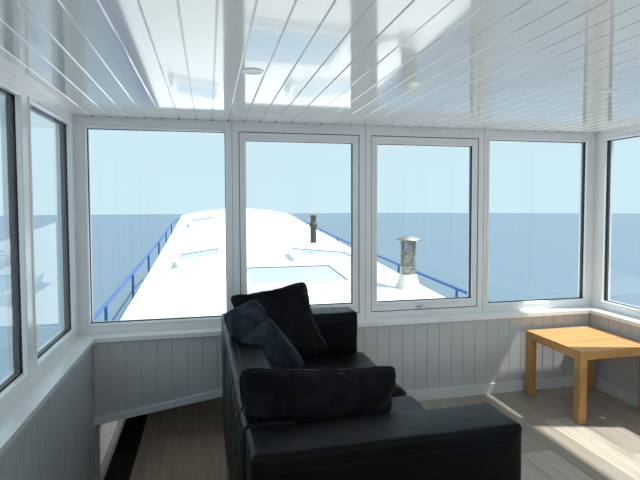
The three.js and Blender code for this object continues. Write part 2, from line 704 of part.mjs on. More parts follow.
const makeSideGlass = (side, grow) => {
  const middle = ROOM.half + FRAME.depth / 2
  const half = GLASS.depth / 2 + grow
  const bite = GLASS.bite + grow
  const xs = side > 0 ? [middle - half, middle + half] : [-middle - half, half - middle]
  const ys = [sidePaneSpan(SIDE_PANE.count - 1)[0] - bite, sidePaneSpan(0)[1] + bite]
  return block(xs, ys, [FRAME.bottom - bite, FRAME.top + bite])
}

const makeSideFrame = (side) => {
  const xs = side > 0 ? [ROOM.half, ROOM.half + FRAME.depth] : [-ROOM.half - FRAME.depth, -ROOM.half]
  const frame = block(xs, [ROOM.aft + GAP, ROOM.front - GAP], [SILL.top + GAP, HEAD])
  const holes = []
  for (let k = 0; k < SIDE_PANE.count; k++) {
    holes.push(block([-WIDE, WIDE], sidePaneSpan(k), [FRAME.bottom, FRAME.top]))
  }
  return cut(frame, [...holes, makeSideGlass(side, GAP)])
}

const aftPane = (side, grow, bite) => {
  const middle = ROOM.aft - FRAME.depth / 2
  const half = grow === null ? 150 : GLASS.depth / 2 + grow
  const xs = [AFT_PANE.inner - bite, AFT_PANE.outer + bite]
  return block(
    side > 0 ? xs : [-xs[1], -xs[0]],
    [middle - half, middle + half],
    [FRAME.bottom - bite, FRAME.top + bite],
  )
}

const makeAftGlass = (side) => aftPane(side, 0, GLASS.bite)

const doorPin = { x: -DOOR.half - 3, y: ROOM.aft - 10 - DOOR.depth - DOOR_PIN.out }

const doorHinge = (lug) => {
  const { radius, leaf, levels } = DOOR_PIN
  const parts = []
  for (const level of levels) {
    const bars = lug ? [[level - leaf, level - leaf / 2 - 0.5], [level + leaf / 2 + 0.5, level + leaf]]
      : [[level - leaf / 2, level + leaf / 2]]
    for (const [from, to] of bars) {
      parts.push(rod(radius, [doorPin.x, doorPin.y, from], [doorPin.x, doorPin.y, to]))
      const xs = lug ? [doorPin.x - 20, doorPin.x] : [doorPin.x, doorPin.x + 24]
      const ys = lug ? [doorPin.y - radius, ROOM.aft - FRAME.depth + 1]
        : [doorPin.y - radius, doorPin.y + DOOR_PIN.out + 1]
      parts.push(block(xs, ys, [from, to]))
    }
  }
  return join(parts)
}

const makeAftFrame = () => {
  const outer = ROOM.half + FRAME.depth
  const ys = [ROOM.aft - FRAME.depth, ROOM.aft]
  const gate = DOOR.half + DOOR.post - GAP
  const upper = block([-outer, outer], ys, [SILL.top + GAP, HEAD])
  const posts = block([-gate, gate], ys, [DOOR.bottom - 10 + GAP, SILL.top + 50])
  const doorway = block(
    [-DOOR.half - SWING, DOOR.half + SWING],
    [ROOM.aft - 200, ROOM.aft + 200],
    [DOOR.bottom - SWING, DOOR.top + SWING],
  )
  const tools = [doorway]
  for (const side of [-1, 1]) {
    tools.push(aftPane(side, null, 0), aftPane(side, GAP, GLASS.bite + GAP))
  }
  return cut(join([upper, posts]), tools).add(doorHinge(true))
}

const doorBlock = (ys, inset, bottom, top) => block(
  [-DOOR.half + inset, DOOR.half - DOOR.free - inset], ys, [bottom, top],
)

const doorGlass = (grow) => {
  const middle = ROOM.aft - 10 - DOOR.depth / 2
  const half = GLASS.depth / 2 + grow
  const bite = GLASS.bite + grow
  const ys = [middle - half, middle + half]
  return doorBlock(ys, DOOR.stile - bite, DOOR.glassBottom - bite, DOOR.top - DOOR.stile + bite)
}

const makeDoor = () => {
  const ys = [ROOM.aft - 10 - DOOR.depth, ROOM.aft - 10]
  const leaf = doorBlock(ys, 0, DOOR.bottom, DOOR.top)
  const light = doorBlock([ys[0] - 50, ys[1] + 50], DOOR.stile, DOOR.glassBottom, DOOR.top - DOOR.stile)
  return cut(leaf, [light, doorGlass(GAP)]).add(doorHinge(false))
}

// Ceiling of grooved planks, and the roof over it

const makeCeiling = () => {
  const outer = ROOM.half + FRAME.depth
  const low = HEAD + GAP
  const outline = [[-outer, low + CEILING.plate], [-outer, low]]
  for (let x = CEILING.first - ROOM.half; x < ROOM.half; x += CEILING.pitch) {
    outline.push([x - CEILING.groove / 2, low], [x, low + CEILING.depth], [x + CEILING.groove / 2, low])
  }
  outline.push([outer, low], [outer, low + CEILING.plate])
  return prism(outline, 'y', ROOM.aft - FRAME.depth, ROOM.front + FRAME.depth)
}

const makeDeckhouseRoof = () => {
  const { half, front, aft, edge, crown, radius } = TOP
  const low = HEAD + CEILING.plate + 2 * GAP
  const outline = [[-half, low], [half, low], [half, edge - radius]]
  for (let k = 5; k >= -5; k--) {
    const x = (half - radius) * k / 5
    outline.push([x, edge + (crown - edge) * (1 - (x / (half - radius)) ** 2)])
  }
  outline.push([-half, edge - radius])
  return prism(outline, 'y', aft, front)
}

// Settee, cushions and table

// Places a piece from the settee's own frame, its rear aft corner on the floor, into the room
const inRoom = (solid) => {
  const place = new THREE.Matrix4().makeRotationZ(SETTEE.turn).setPosition(SETTEE.x, SETTEE.y, FLOOR.top)
  return solid.transform(place.elements)
}

const setteeBlocks = (grow) => {
  const { depth, length, height, arm, backDepth, seat, foot } = SETTEE
  return [
    block([-grow, backDepth + grow], [-grow, length + grow], [foot, height + grow]),
    block([0, depth + grow], [-grow, arm + grow], [foot, height + grow]),
    block([0, depth + grow], [length - arm - grow, length + grow], [foot, height + grow]),
    block([0, depth - 20], [0, length], [foot, seat + grow]),
  ]
}

const makeSetteeFrame = () => {
  const { depth, length, foot } = SETTEE
  const feet = []
  for (const x of [60, depth - 90]) {
    for (const y of [30, length - 90]) {
      feet.push(block([x, x + 60], [y, y + 60], [GAP, foot + 10]))
    }
  }
  return inRoom(join([...setteeBlocks(0), ...feet]))
}

const seatBlock = (k, grow) => {
  const { length, depth, arm, backDepth, seat, seatTop, seatNose } = SETTEE
  const each = (length - 2 * arm) / 2
  return block(
    [backDepth + 2 - grow, depth + seatNose + grow],
    [arm + k * each + 2 - grow, arm + (k + 1) * each - 2 + grow],
    [seat + GAP, seatTop + grow],
  )
}

const makeSeatCushion = (k) => inRoom(seatBlock(k, 0))

// Scatter cushions lean on the arms, the back and the seat, and lie against one another
const looseBlock = ({ size, at, lean, roll }, grow) => {
  const [w, l, h] = size
  const box = new THREE.BoxGeometry(w + 2 * grow, l + 2 * grow, h + 2 * grow)
  if (w > l) {
    box.rotateY(roll).rotateX(lean)
  } else {
    box.rotateY(-lean).rotateX(roll)
  }
  return toSolid(box.translate(...at))
}

const makeScatterCushion = (k) => {
  const room = [
    ...setteeBlocks(GAP), seatBlock(0, GAP), seatBlock(1, GAP),
    ...SCATTER_CUSHIONS.slice(0, k).map((before) => looseBlock(before, GAP)),
  ]
  return inRoom(cut(looseBlock(SCATTER_CUSHIONS[k], 0), room))
}

const makeTable = () => {
  const { x, y, size, height, top, leg, apron } = TABLE
  const square = (cx, cy, half, levels) => block([cx - half, cx + half], [cy - half, cy + half], levels)
  const half = size / 2
  const under = FLOOR.top + height - top
  const parts = [square(x, y, half, [under, under + top])]
  for (const [sx, sy] of [[-1, -1], [1, -1], [1, 1], [-1, 1]]) {
    const out = half - leg / 2
    parts.push(square(x + sx * out, y + sy * out, leg / 2, [FLOOR.top + GAP, under + 1]))
  }
  const skirt = square(x, y, half, [under - apron, under + 1])
  parts.push(skirt.subtract(square(x, y, half - 22, [FLOOR.top, under])))
  return join(parts)
}

// Guard rails along the deck's edge, and the mooring bitts

const deckEdge = (y) => {
  const { way, deckFrom, deckLength, deckFull } = y > 0 ? ENDS.bow : ENDS.stern
  const share = Math.max(0, (y - deckFrom) * way / deckLength)
  return HALF_BEAM * (1 - share ** deckFull) ** (1 / deckFull)
}

const makeRail = (side) => {
  const { height, mid, radius, post, inset, from, to, posts } = RAIL
  const feet = []
  for (let k = 0; k < posts; k++) {
    const y = from + (to - from) * k / (posts - 1)
    feet.push([side * (deckEdge(y) - inset), y, deckHeight(y)])
  }
  const up = ([x, y, z], rise) => [x, y, z + rise]
  const parts = feet.map((foot) => rod(post, up(foot, -60), up(foot, height), 8))
  parts.push(tube(feet.map((foot) => up(foot, mid)), post * 0.6, posts * 2, 6))
  parts.push(tube(feet.map((foot) => up(foot, height)), radius, posts * 2, 8))
  return join(parts).intersect(aboveDeck(GAP))
}

const makeBitts = ({ x, y }) => {
  const level = deckHeight(y)
  const { radius, height, spacing, bar } = BITT
  const ys = [y - spacing / 2 - 130, y + spacing / 2 + 130]
  const parts = [block([x - 130, x + 130], ys, [level - 60, level + 45])]
  for (const way of [-1, 1]) {
    const at = y + way * spacing / 2
    parts.push(rod(radius, [x, at, level], [x, at, level + height], 12))
    parts.push(rod(radius + 18, [x, at, level + height - 30], [x, at, level + height], 12))
  }
  parts.push(rod(bar, [x, y - spacing / 2 - 170, level + 250], [x, y + spacing / 2 + 170, level + 250], 8))
  return join(parts).intersect(aboveDeck(GAP))
}

// Anchor windlass on the foredeck: two cheeks carry an axle with a chain drum, a gear and warping ends
const makeWindlass = () => {
  const { y, axle, cheek, half, drum, gear, warp } = WINDLASS
  const level = deckHeight(y)
  const height = level + axle
  const along = (from, to, radius, sides) => rod(radius, [from, y, height], [to, y, height], sides)
  const parts = [
    block([-half - 60, half + 60], [y - 260, y + 260], [level - 60, level + 50]),
    along(-half - 190, half + 190, 40, 12),
    along(-150, 120, drum, 16),
    along(170, 230, gear, 24),
    along(-half - 170, -half - 50, warp, 16),
    along(half + 50, half + 170, warp, 16),
  ]
  for (const x of [-half, half - cheek]) {
    parts.push(prism([
      [y - 230, level + 40], [y + 230, level + 40], [y + 90, height + 60], [y - 90, height + 60],
    ], 'x', x, x + cheek))
  }
  return join(parts).intersect(aboveDeck(GAP))
}

// Steps from the aft deck up to the door
const makeAftSteps = () => {
  const { aftOut } = wallFaces
  const rise = (FLOOR.top - DECK_LEVEL) / 3
  const going = 260
  const start = aftOut - GAP
  const low = DECK_LEVEL
  return prism([
    [start, low + GAP], [start - 2 * going, low + GAP], [start - 2 * going, low + rise],
    [start - going, low + rise], [start - going, low + 2 * rise], [start, low + 2 * rise],
  ], 'x', -450, 450)
}

// The boat

const boat = new THREE.Group()

const add = (name, solid, [color, roughness, metalness]) => {
  const geometry = toGeometry(solid)
  geometry.computeBoundingBox()
  const centre = geometry.boundingBox.getCenter(new THREE.Vector3()).round()
  geometry.translate(-centre.x, -centre.y, -centre.z)
  const mesh = new THREE.Mesh(geometry, new THREE.MeshStandardMaterial({ color, roughness, metalness }))
  mesh.name = name
  mesh.position.copy(centre)
  boat.add(mesh)
}

add('hull', makeHull(), COLOURS.hull)
add('rubbing_strake', makeStrake(), COLOURS.blue)
add('deck', makeDeck(), COLOURS.deck)
add('saloon_sole', makeSole(), COLOURS.floor)
add('rudder', makeRudder(), COLOURS.hull)
add('propeller', makePropeller(), COLOURS.bronze)
add('engine', makeEngine(), COLOURS.steel)
add('cabin_walls', makeCabinWalls(), COLOURS.white)
add('cabin_roof', makeCabinRoof(), COLOURS.white)
for (const light of ROOFLIGHTS) {
  add(`${light.name}_frame`, makeLid(light), COLOURS.white)
  add(`${light.name}_glass`, makePane(light), COLOURS.glass)
}
add('stove_flue', makeFlue(), COLOURS.flue)
add('vent_cowl', makeCowl(), COLOURS.steel)
add('deckhouse_floor', makeFloor(), COLOURS.floor)
add('lower_wall_front', makeFrontWall(), COLOURS.wainscot)
add('lower_wall_port', makeSideWall(-1), COLOURS.wainscot)
add('lower_wall_starboard', makeSideWall(1), COLOURS.wainscot)
add('lower_wall_aft', makeAftWall(), COLOURS.wainscot)
add('window_sill', makeSill(), COLOURS.frame)
add('companion_stair', makeStair(), COLOURS.oak)
add('window_frame_front', makeFrontFrame(), COLOURS.frame)
add('window_frame_port', makeSideFrame(-1), COLOURS.frame)
add('window_frame_starboard', makeSideFrame(1), COLOURS.frame)
add('window_frame_aft', makeAftFrame(), COLOURS.frame)
add('glass_front_port', frontPane(0, 0), COLOURS.glass)
add('glass_front_starboard', frontPane(3, 0), COLOURS.glass)
add('glass_port', makeSideGlass(-1, 0), COLOURS.glass)
add('glass_starboard', makeSideGlass(1, 0), COLOURS.glass)
add('glass_aft_port', makeAftGlass(-1), COLOURS.glass)
add('glass_aft_starboard', makeAftGlass(1), COLOURS.glass)
FRONT_SASHES.forEach((k, order) => {
  const name = ['sash_port', 'sash_starboard'][order]
  add(name, makeSash(k), COLOURS.frame)
  add(`${name}_glass`, sashPane(k, 0), COLOURS.glass)
})
add('aft_door', makeDoor(), COLOURS.frame)
add('aft_door_glass', doorGlass(0), COLOURS.glass)
add('deckhouse_ceiling', makeCeiling(), COLOURS.white)
add('deckhouse_roof', makeDeckhouseRoof(), COLOURS.white)
add('settee_frame', makeSetteeFrame(), COLOURS.leather)
for (let k = 0; k < 2; k++) {
  add(`seat_cushion_${k + 1}`, makeSeatCushion(k), COLOURS.leather)
}
SCATTER_CUSHIONS.forEach(({ name }, k) => add(name, makeScatterCushion(k), COLOURS.leather))
add('oak_table', makeTable(), COLOURS.oak)
add('rail_port', makeRail(-1), COLOURS.blue)
add('rail_starboard', makeRail(1), COLOURS.blue)
for (const pair of BITTS) {
  add(pair.name, makeBitts(pair), COLOURS.hull)
}
add('windlass', makeWindlass(), COLOURS.hull)
add('aft_steps', makeAftSteps(), COLOURS.deck)

export default boat
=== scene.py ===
"""Looks of a steel houseboat: finishes, trim, upholstery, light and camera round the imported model.

Metres throughout, with +X to starboard, +Y to the bow and +Z up, as in the model itself. The
deckhouse is the glazed room aft; the long cambered roof ahead of it covers the cabin.
"""

import logging
import math
from collections.abc import Iterable, Sequence
from dataclasses import dataclass, field
from enum import Enum

import bmesh
import bpy
from mathutils import Matrix, Vector, noise
from mathutils.bvhtree import BVHTree


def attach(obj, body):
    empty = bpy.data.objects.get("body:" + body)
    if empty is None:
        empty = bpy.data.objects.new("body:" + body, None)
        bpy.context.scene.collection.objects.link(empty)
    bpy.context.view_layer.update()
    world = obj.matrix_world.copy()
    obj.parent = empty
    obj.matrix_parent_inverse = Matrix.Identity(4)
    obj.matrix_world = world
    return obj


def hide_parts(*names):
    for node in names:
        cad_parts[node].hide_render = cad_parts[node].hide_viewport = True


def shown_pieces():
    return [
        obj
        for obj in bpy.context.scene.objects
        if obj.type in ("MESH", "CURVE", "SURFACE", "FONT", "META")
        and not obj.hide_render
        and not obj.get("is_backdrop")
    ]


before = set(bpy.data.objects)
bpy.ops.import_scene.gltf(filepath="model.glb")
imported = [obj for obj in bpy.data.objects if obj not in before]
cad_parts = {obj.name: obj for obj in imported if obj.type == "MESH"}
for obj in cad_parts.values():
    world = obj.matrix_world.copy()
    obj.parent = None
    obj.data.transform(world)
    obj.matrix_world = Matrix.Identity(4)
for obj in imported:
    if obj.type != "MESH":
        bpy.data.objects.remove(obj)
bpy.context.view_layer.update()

Colour = tuple[float, float, float]
Point = tuple[float, float, float]
Profile = Sequence[tuple[float, float]]
Outline = list[tuple[Vector, Vector]]

LOG = logging.getLogger("houseboat")
BOAT = "boat"
FINISH = "_finish"

STARBOARD = Vector((1, 0, 0))
BOW = Vector((0, 1, 0))
UP = Vector((0, 0, 1))

# Where the deckhouse's walls, floor and ceiling lie
WALL_FACE = 1.8065
FRONT_WALL = -5.6
AFT_WALL = -9.66
FLOOR_TOP = 2.04
CEILING = 3.9113
CEILING_PITCH = 0.1


class Axis(Enum):
    """A direction that grain or a solid runs along."""

    X = 0
    Y = 1
    Z = 2


# Finishes


class Bench:
    """A material's node tree, with short calls for the nodes that the finishes share."""

    def __init__(self, name: str) -> None:
        """Makes the material and keeps its shader.

        Args:
            name: The material's name.
        """
        self.material = bpy.data.materials.new(name + FINISH)
        self.material.use_nodes = True
        self.tree = self.material.node_tree
        self.shader = next(n for n in self.tree.nodes if n.type == "BSDF_PRINCIPLED")
        self.place = self.tree.nodes.new("ShaderNodeTexCoord").outputs["Object"]

    def link(self, source: bpy.types.NodeSocket, target: bpy.types.NodeSocket) -> None:
        """Joins two sockets.

        Args:
            source: The output.
            target: The input that it feeds.
        """
        self.tree.links.new(source, target)

    def stretched(self, scale: Point) -> bpy.types.NodeSocket:
        """Gives the object's own coordinates, scaled along each axis.

        Args:
            scale: The factor for each axis.

        Returns:
            The vector output.
        """
        node = self.tree.nodes.new("ShaderNodeMapping")
        node.inputs["Scale"].default_value = scale
        self.link(self.place, node.inputs["Vector"])
        return node.outputs["Vector"]

    def noise(self, scale: float, detail: float = 3.0, at: bpy.types.NodeSocket | None = None,
              rough: float = 0.55, twist: float = 0.0) -> bpy.types.NodeSocket:
        """Adds a noise texture.

        Args:
            scale: Features per metre.
            detail: Octaves.
            at: Its coordinates, or None for the object's own.
            rough: How strong the finer octaves are.
            twist: Distortion.

        Returns:
            The noise's value.
        """
        node = self.tree.nodes.new("ShaderNodeTexNoise")
        node.inputs["Scale"].default_value = scale
        node.inputs["Detail"].default_value = detail
        node.inputs["Roughness"].default_value = rough
        node.inputs["Distortion"].default_value = twist
        self.link(at or self.place, node.inputs["Vector"])
        return node.outputs["Fac"]

    def cells(self, scale: float, at: bpy.types.NodeSocket | None = None) -> bpy.types.NodeSocket:
        """Adds a cell texture.

        Args:
            scale: Cells per metre.
            at: Its coordinates, or None for the object's own.

        Returns:
            The distance from the nearest cell's middle.
        """
        node = self.tree.nodes.new("ShaderNodeTexVoronoi")
        node.inputs["Scale"].default_value = scale
        self.link(at or self.place, node.inputs["Vector"])
        return node.outputs["Distance"]

    def span(self, source: bpy.types.NodeSocket, low: float, high: float,
             to_low: float = 0.0, to_high: float = 1.0) -> bpy.types.NodeSocket:
        """Maps a range of values to another, held at its ends.

        Args:
            source: The value to map.
            low: The value that gives to_low.
            high: The value that gives to_high.
            to_low: The result at low.
            to_high: The result at high.

        Returns:
            The mapped value.
        """
        node = self.tree.nodes.new("ShaderNodeMapRange")
        for name, value in (("From Min", low), ("From Max", high), ("To Min", to_low), ("To Max", to_high)):
            node.inputs[name].default_value = value
        self.link(source, node.inputs["Value"])
        return node.outputs["Result"]

    def mix(self, share: bpy.types.NodeSocket, first: Colour | bpy.types.NodeSocket,
            second: Colour | bpy.types.NodeSocket) -> bpy.types.NodeSocket:
        """Mixes two colours.

        Args:
            share: How much of the second shows.
            first: A colour or a colour output.
            second: A colour or a colour output.

        Returns:
            The mixed colour.
        """
        node = self.tree.nodes.new("ShaderNodeMix")
        node.data_type = "RGBA"
        self.link(share, node.inputs["Factor"])
        for socket, colour in ((node.inputs[6], first), (node.inputs[7], second)):
            if isinstance(colour, tuple):
                socket.default_value = (*colour, 1.0)
            else:
                self.link(colour, socket)
        return node.outputs[2]

    def combine(self, kind: str, first: bpy.types.NodeSocket,
                second: bpy.types.NodeSocket | float) -> bpy.types.NodeSocket:
        """Works out one value from two.

        Args:
            kind: Blender's name for the operation, such as ADD.
            first: The first value.
            second: The second value.

        Returns:
            The result.
        """
        node = self.tree.nodes.new("ShaderNodeMath")
        node.operation = kind
        self.link(first, node.inputs[0])
        if isinstance(second, float):
            node.inputs[1].default_value = second
        else:
            self.link(second, node.inputs[1])
        return node.outputs[0]

    def height_along(self, axis: Axis) -> bpy.types.NodeSocket:
        """Gives the object's own coordinate along one axis.

        Args:
            axis: Which coordinate.

        Returns:
            The coordinate, in metres.
        """
        node = self.tree.nodes.new("ShaderNodeSeparateXYZ")
        self.link(self.place, node.inputs["Vector"])
        return node.outputs[axis.value]

    def outward(self) -> bpy.types.NodeSocket:
        """Tells faces that look down or away from the object's middle from those that look towards it.

        Returns:
            1 on the outer side, 0 on the inner one.
        """
        level = self.stretched((1.0, 1.0, 0.0))
        node = self.tree.nodes.new("ShaderNodeVectorMath")
        node.operation = "DOT_PRODUCT"
        self.link(level, node.inputs[0])
        self.link(self.place.node.outputs["Normal"], node.inputs[1])
        split = self.tree.nodes.new("ShaderNodeSeparateXYZ")
        self.link(self.place.node.outputs["Normal"], split.inputs["Vector"])
        down = self.span(split.outputs[Axis.Z.value], -0.06, -0.02, 1.0, 0.0)
        return self.combine("MAXIMUM", self.span(node.outputs["Value"], 0.02, 0.06), down)

    def bump(self, height: bpy.types.NodeSocket, depth: float, strength: float = 1.0) -> None:
        """Raises the surface by a height, over any bump that it already has.

        Args:
            height: The height, from 0 to 1.
            depth: How far 1 stands out, in metres.
            strength: How much of the bump shows.
        """
        node = self.tree.nodes.new("ShaderNodeBump")
        node.inputs["Distance"].default_value = depth
        node.inputs["Strength"].default_value = strength
        self.link(height, node.inputs["Height"])
        normal = self.shader.inputs["Normal"]
        if normal.is_linked:
            self.link(normal.links[0].from_socket, node.inputs["Normal"])
        self.link(node.outputs["Normal"], normal)

    def paint(self, colour: Colour | bpy.types.NodeSocket) -> None:
        """Sets the shader's colour.

        Args:
            colour: A colour or a colour output.
        """
        socket = self.shader.inputs["Base Color"]
        if isinstance(colour, tuple):
            socket.default_value = (*colour, 1.0)
        else:
            self.link(colour, socket)

    def roughen(self, source: bpy.types.NodeSocket, low: float, high: float) -> None:
        """Lets the roughness follow a value.

        Args:
            source: A value from 0 to 1.
            low: Roughness at 0.
            high: Roughness at 1.
        """
        self.link(self.span(source, 0.25, 0.75, low, high), self.shader.inputs["Roughness"])

    def set(self, **values: float) -> "Bench":
        """Sets plain values on the shader's own sockets.

        Args:
            **values: Socket names, with underscores for spaces, and their values.

        Returns:
            The bench itself.
        """
        for name, value in values.items():
            self.shader.inputs[name.replace("_", " ")].default_value = value
        return self


@dataclass(frozen=True)
class Paint:
    """Brushed or sprayed paint, a little uneven, with dirt where it gathers."""

    name: str
    colour: Colour
    dirt: Colour
    roughness: float = 0.4
    dirty: float = 0.35
    patches: float = 1.5
    grain: float = 0.0006
    grain_scale: float = 60.0
    coat: float = 0.0

    def make(self) -> bpy.types.Material:
        """Makes the material.

        Returns:
            The finished material.
        """
        bench = Bench(self.name).set(Coat_Weight=self.coat, Coat_Roughness=0.12)
        broad = bench.noise(self.patches, 5.0)
        fine = bench.noise(self.grain_scale, 4.0)
        share = bench.combine("MULTIPLY", bench.span(broad, 0.42, 0.75), self.dirty)
        bench.paint(bench.mix(share, self.colour, self.dirt))
        bench.roughen(broad, self.roughness * 0.85, self.roughness * 1.2)
        bench.bump(fine, self.grain)
        return bench.material


@dataclass(frozen=True)
class HullPaint:
    """Black topside paint over rolled plate, with a red band at the waterline and old streaks."""

    name: str = "hull_paint"
    colour: Colour = (0.012, 0.014, 0.018)
    faded: Colour = (0.045, 0.05, 0.056)
    boot: Colour = (0.16, 0.025, 0.018)
    rust: Colour = (0.19, 0.075, 0.028)
    boot_top: float = 0.84
    hollow: bool = True

    def make(self) -> bpy.types.Material:
        """Makes the material.

        Returns:
            The finished material.
        """
        bench = Bench(self.name)
        streaks = bench.noise(1.0, 6.0, bench.stretched((5.0, 5.0, 0.6)), 0.65)
        broad = bench.noise(0.7, 4.0)
        faded = bench.mix(bench.span(broad, 0.4, 0.75), self.colour, self.faded)
        rusted = bench.mix(bench.span(streaks, 0.66, 0.8, 0.0, 0.5), faded, self.rust)
        level = bench.span(bench.height_along(Axis.Z), self.boot_top - 0.004, self.boot_top + 0.004, 1.0, 0.0)
        if self.hollow:
            level = bench.combine("MULTIPLY", level, bench.outward())
        bench.paint(bench.mix(level, rusted, self.boot))
        bench.roughen(streaks, 0.28, 0.55)
        bench.bump(bench.noise(2.2, 2.0), 0.006, 0.5)
        bench.bump(bench.noise(90.0, 3.0), 0.0004)
        return bench.material


@dataclass(frozen=True)
class NonSlip:
    """Deck paint with grit in it."""

    name: str = "deck_paint"
    colour: Colour = (0.2, 0.215, 0.225)
    worn: Colour = (0.31, 0.32, 0.32)

    def make(self) -> bpy.types.Material:
        """Makes the material.

        Returns:
            The finished material.
        """
        bench = Bench(self.name)
        broad = bench.noise(1.3, 6.0)
        bench.paint(bench.mix(bench.span(broad, 0.4, 0.7), self.colour, self.worn))
        bench.roughen(broad, 0.65, 0.85)
        bench.bump(bench.noise(260.0, 2.0), 0.0012)
        return bench.material


@dataclass(frozen=True)
class Wood:
    """Timber or its printed likeness, with grain along one axis and one tone for each plank."""

    name: str
    light: Colour
    dark: Colour
    along: Axis
    roughness: float = 0.45
    stretch: float = 14.0
    pores: float = 0.0004
    toned: bool = False
    wander: float = 0.35
    tone_depth: float = 0.55

    def make(self) -> bpy.types.Material:
        """Makes the material.

        Returns:
            The finished material.
        """
        bench = Bench(self.name)
        scale = [self.stretch] * 3
        scale[self.along.value] = 1.0
        lines = bench.noise(1.6, 7.0, bench.stretched(tuple(scale)), 0.62, self.wander)
        fine = bench.noise(9.0, 5.0, bench.stretched(tuple(scale)), 0.7)
        broad_share, fine_share = bench.combine("MULTIPLY", lines, 0.7), bench.combine("MULTIPLY", fine, 0.3)
        grain = bench.combine("ADD", broad_share, fine_share)
        colour = bench.mix(bench.span(grain, 0.36, 0.66), self.dark, self.light)
        if self.toned:
            tone = bench.tree.nodes.new("ShaderNodeAttribute")
            tone.attribute_name = "tone"
            darker = tuple(value * self.tone_depth for value in self.dark)
            share = bench.span(tone.outputs["Fac"], 0.0, 1.0, 0.0, self.tone_depth)
            colour = bench.mix(share, colour, darker)
        bench.paint(colour)
        bench.roughen(grain, self.roughness * 0.85, self.roughness * 1.15)
        bench.bump(grain, self.pores)
        return bench.material


@dataclass(frozen=True)
class Leather:
    """Blue-black leather with a fine pebble, soft creases and a dull shine on its crowns."""

    name: str = "black_leather"
    colour: Colour = (0.0012, 0.0018, 0.0032)
    rubbed: Colour = (0.004, 0.0058, 0.01)

    def make(self) -> bpy.types.Material:
        """Makes the material.

        Returns:
            The finished material.
        """
        bench = Bench(self.name).set(Specular_IOR_Level=0.14)
        broad = bench.noise(3.2, 5.0)
        pebble = bench.cells(420.0)
        creases = bench.noise(11.0, 6.0, None, 0.6, 1.1)
        bench.paint(bench.mix(bench.span(broad, 0.45, 0.75), self.colour, self.rubbed))
        bench.roughen(creases, 0.27, 0.4)
        bench.bump(creases, 0.0025, 0.35)
        bench.bump(pebble, 0.0007, 0.5)
        return bench.material


@dataclass(frozen=True)
class Velvet:
    """Short-pile cloth with random paler patches, partly the pile lying the other way and partly painted
    sheen.
    """

    name: str
    colour: Colour
    brushed_pile_and_sheen: Colour
    sheen: Colour

    def make(self) -> bpy.types.Material:
        """Makes the material.

        Returns:
            The finished material.
        """
        bench = Bench(self.name).set(Sheen_Weight=0.12, Sheen_Roughness=0.35, Specular_IOR_Level=0.08)
        bench.shader.inputs["Sheen Tint"].default_value = (*self.sheen, 1.0)
        patches = bench.noise(7.0, 5.0, None, 0.6, 0.8)
        pile = bench.noise(700.0, 2.0)
        # Paler patches: partly crushed pile, partly painted sheen.
        bench.paint(bench.mix(bench.span(patches, 0.42, 0.68), self.colour, self.brushed_pile_and_sheen))
        bench.roughen(patches, 0.75, 0.95)
        bench.bump(pile, 0.0007, 0.7)
        bench.bump(patches, 0.003, 0.3)
        return bench.material


@dataclass(frozen=True)
class ClearGlass:
    """Thin clear glazing: light goes straight through, and the near face mirrors a little."""

    name: str
    tint: Colour
    mirror: float = 1.0
    roughness: float = 0.015
    bending: float = 1.5

    def make(self) -> bpy.types.Material:
        """Makes the material.

        Returns:
            The finished material.
        """
        bench = Bench(self.name)
        nodes = bench.tree.nodes
        through = nodes.new("ShaderNodeBsdfTransparent")
        through.inputs["Color"].default_value = (*self.tint, 1.0)
        shine = nodes.new("ShaderNodeBsdfGlossy")
        shine.inputs["Roughness"].default_value = self.roughness
        fresnel = nodes.new("ShaderNodeFresnel")
        fresnel.inputs["IOR"].default_value = self.bending
        side = nodes.new("ShaderNodeNewGeometry").outputs["Backfacing"]
        near_face = bench.span(side, 0.0, 1.0, self.mirror, 0.0)
        front = bench.combine("MULTIPLY", near_face, fresnel.outputs["Fac"])
        mixed = nodes.new("ShaderNodeMixShader")
        bench.link(front, mixed.inputs["Fac"])
        bench.link(through.outputs["BSDF"], mixed.inputs[1])
        bench.link(shine.outputs["BSDF"], mixed.inputs[2])
        output = next(n for n in nodes if n.type == "OUTPUT_MATERIAL")
        bench.link(mixed.outputs["Shader"], output.inputs["Surface"])
        nodes.remove(bench.shader)
        return bench.material


@dataclass(frozen=True)
class PaintedLightGlass:
    """Glazing that is nearly closed to the eye, its colour painted light: a painted reflection of the sky on
    the rooflights, which shine like still water, and painted shade of the cabin behind the cabin windows.
    """

    name: str
    colour: Colour
    cloud: Colour
    alpha: float

    def make(self) -> bpy.types.Material:
        """Makes the material.

        Returns:
            The finished material.
        """
        bench = Bench(self.name).set(Roughness=0.06, Alpha=self.alpha, Specular_IOR_Level=0.7)
        # Painted light: the colour and the cloud stand in for the sky that the rooflights mirror and for the
        # shade behind the cabin windows.
        bench.paint(bench.mix(bench.span(bench.noise(0.9, 3.0), 0.4, 0.7), self.colour, self.cloud))
        return bench.material


@dataclass(frozen=True)
class Metal:
    """Bare metal, from bright to weathered."""

    name: str
    colour: Colour
    stain: Colour
    roughness: float
    stained: float = 0.0
    spot_scale: float = 18.0

    def make(self) -> bpy.types.Material:
        """Makes the material.

        Returns:
            The finished material.
        """
        bench = Bench(self.name).set(Metallic=1.0)
        spots = bench.noise(self.spot_scale, 6.0, None, 0.7, 0.6)
        share = bench.span(spots, 0.62 - 0.3 * self.stained, 0.72, 0.0, min(1.0, 0.25 + self.stained))
        bench.paint(bench.mix(share, self.colour, self.stain))
        bench.roughen(spots, self.roughness, min(1.0, self.roughness * 1.7))
        bench.bump(spots, 0.0006, 0.5)
        return bench.material


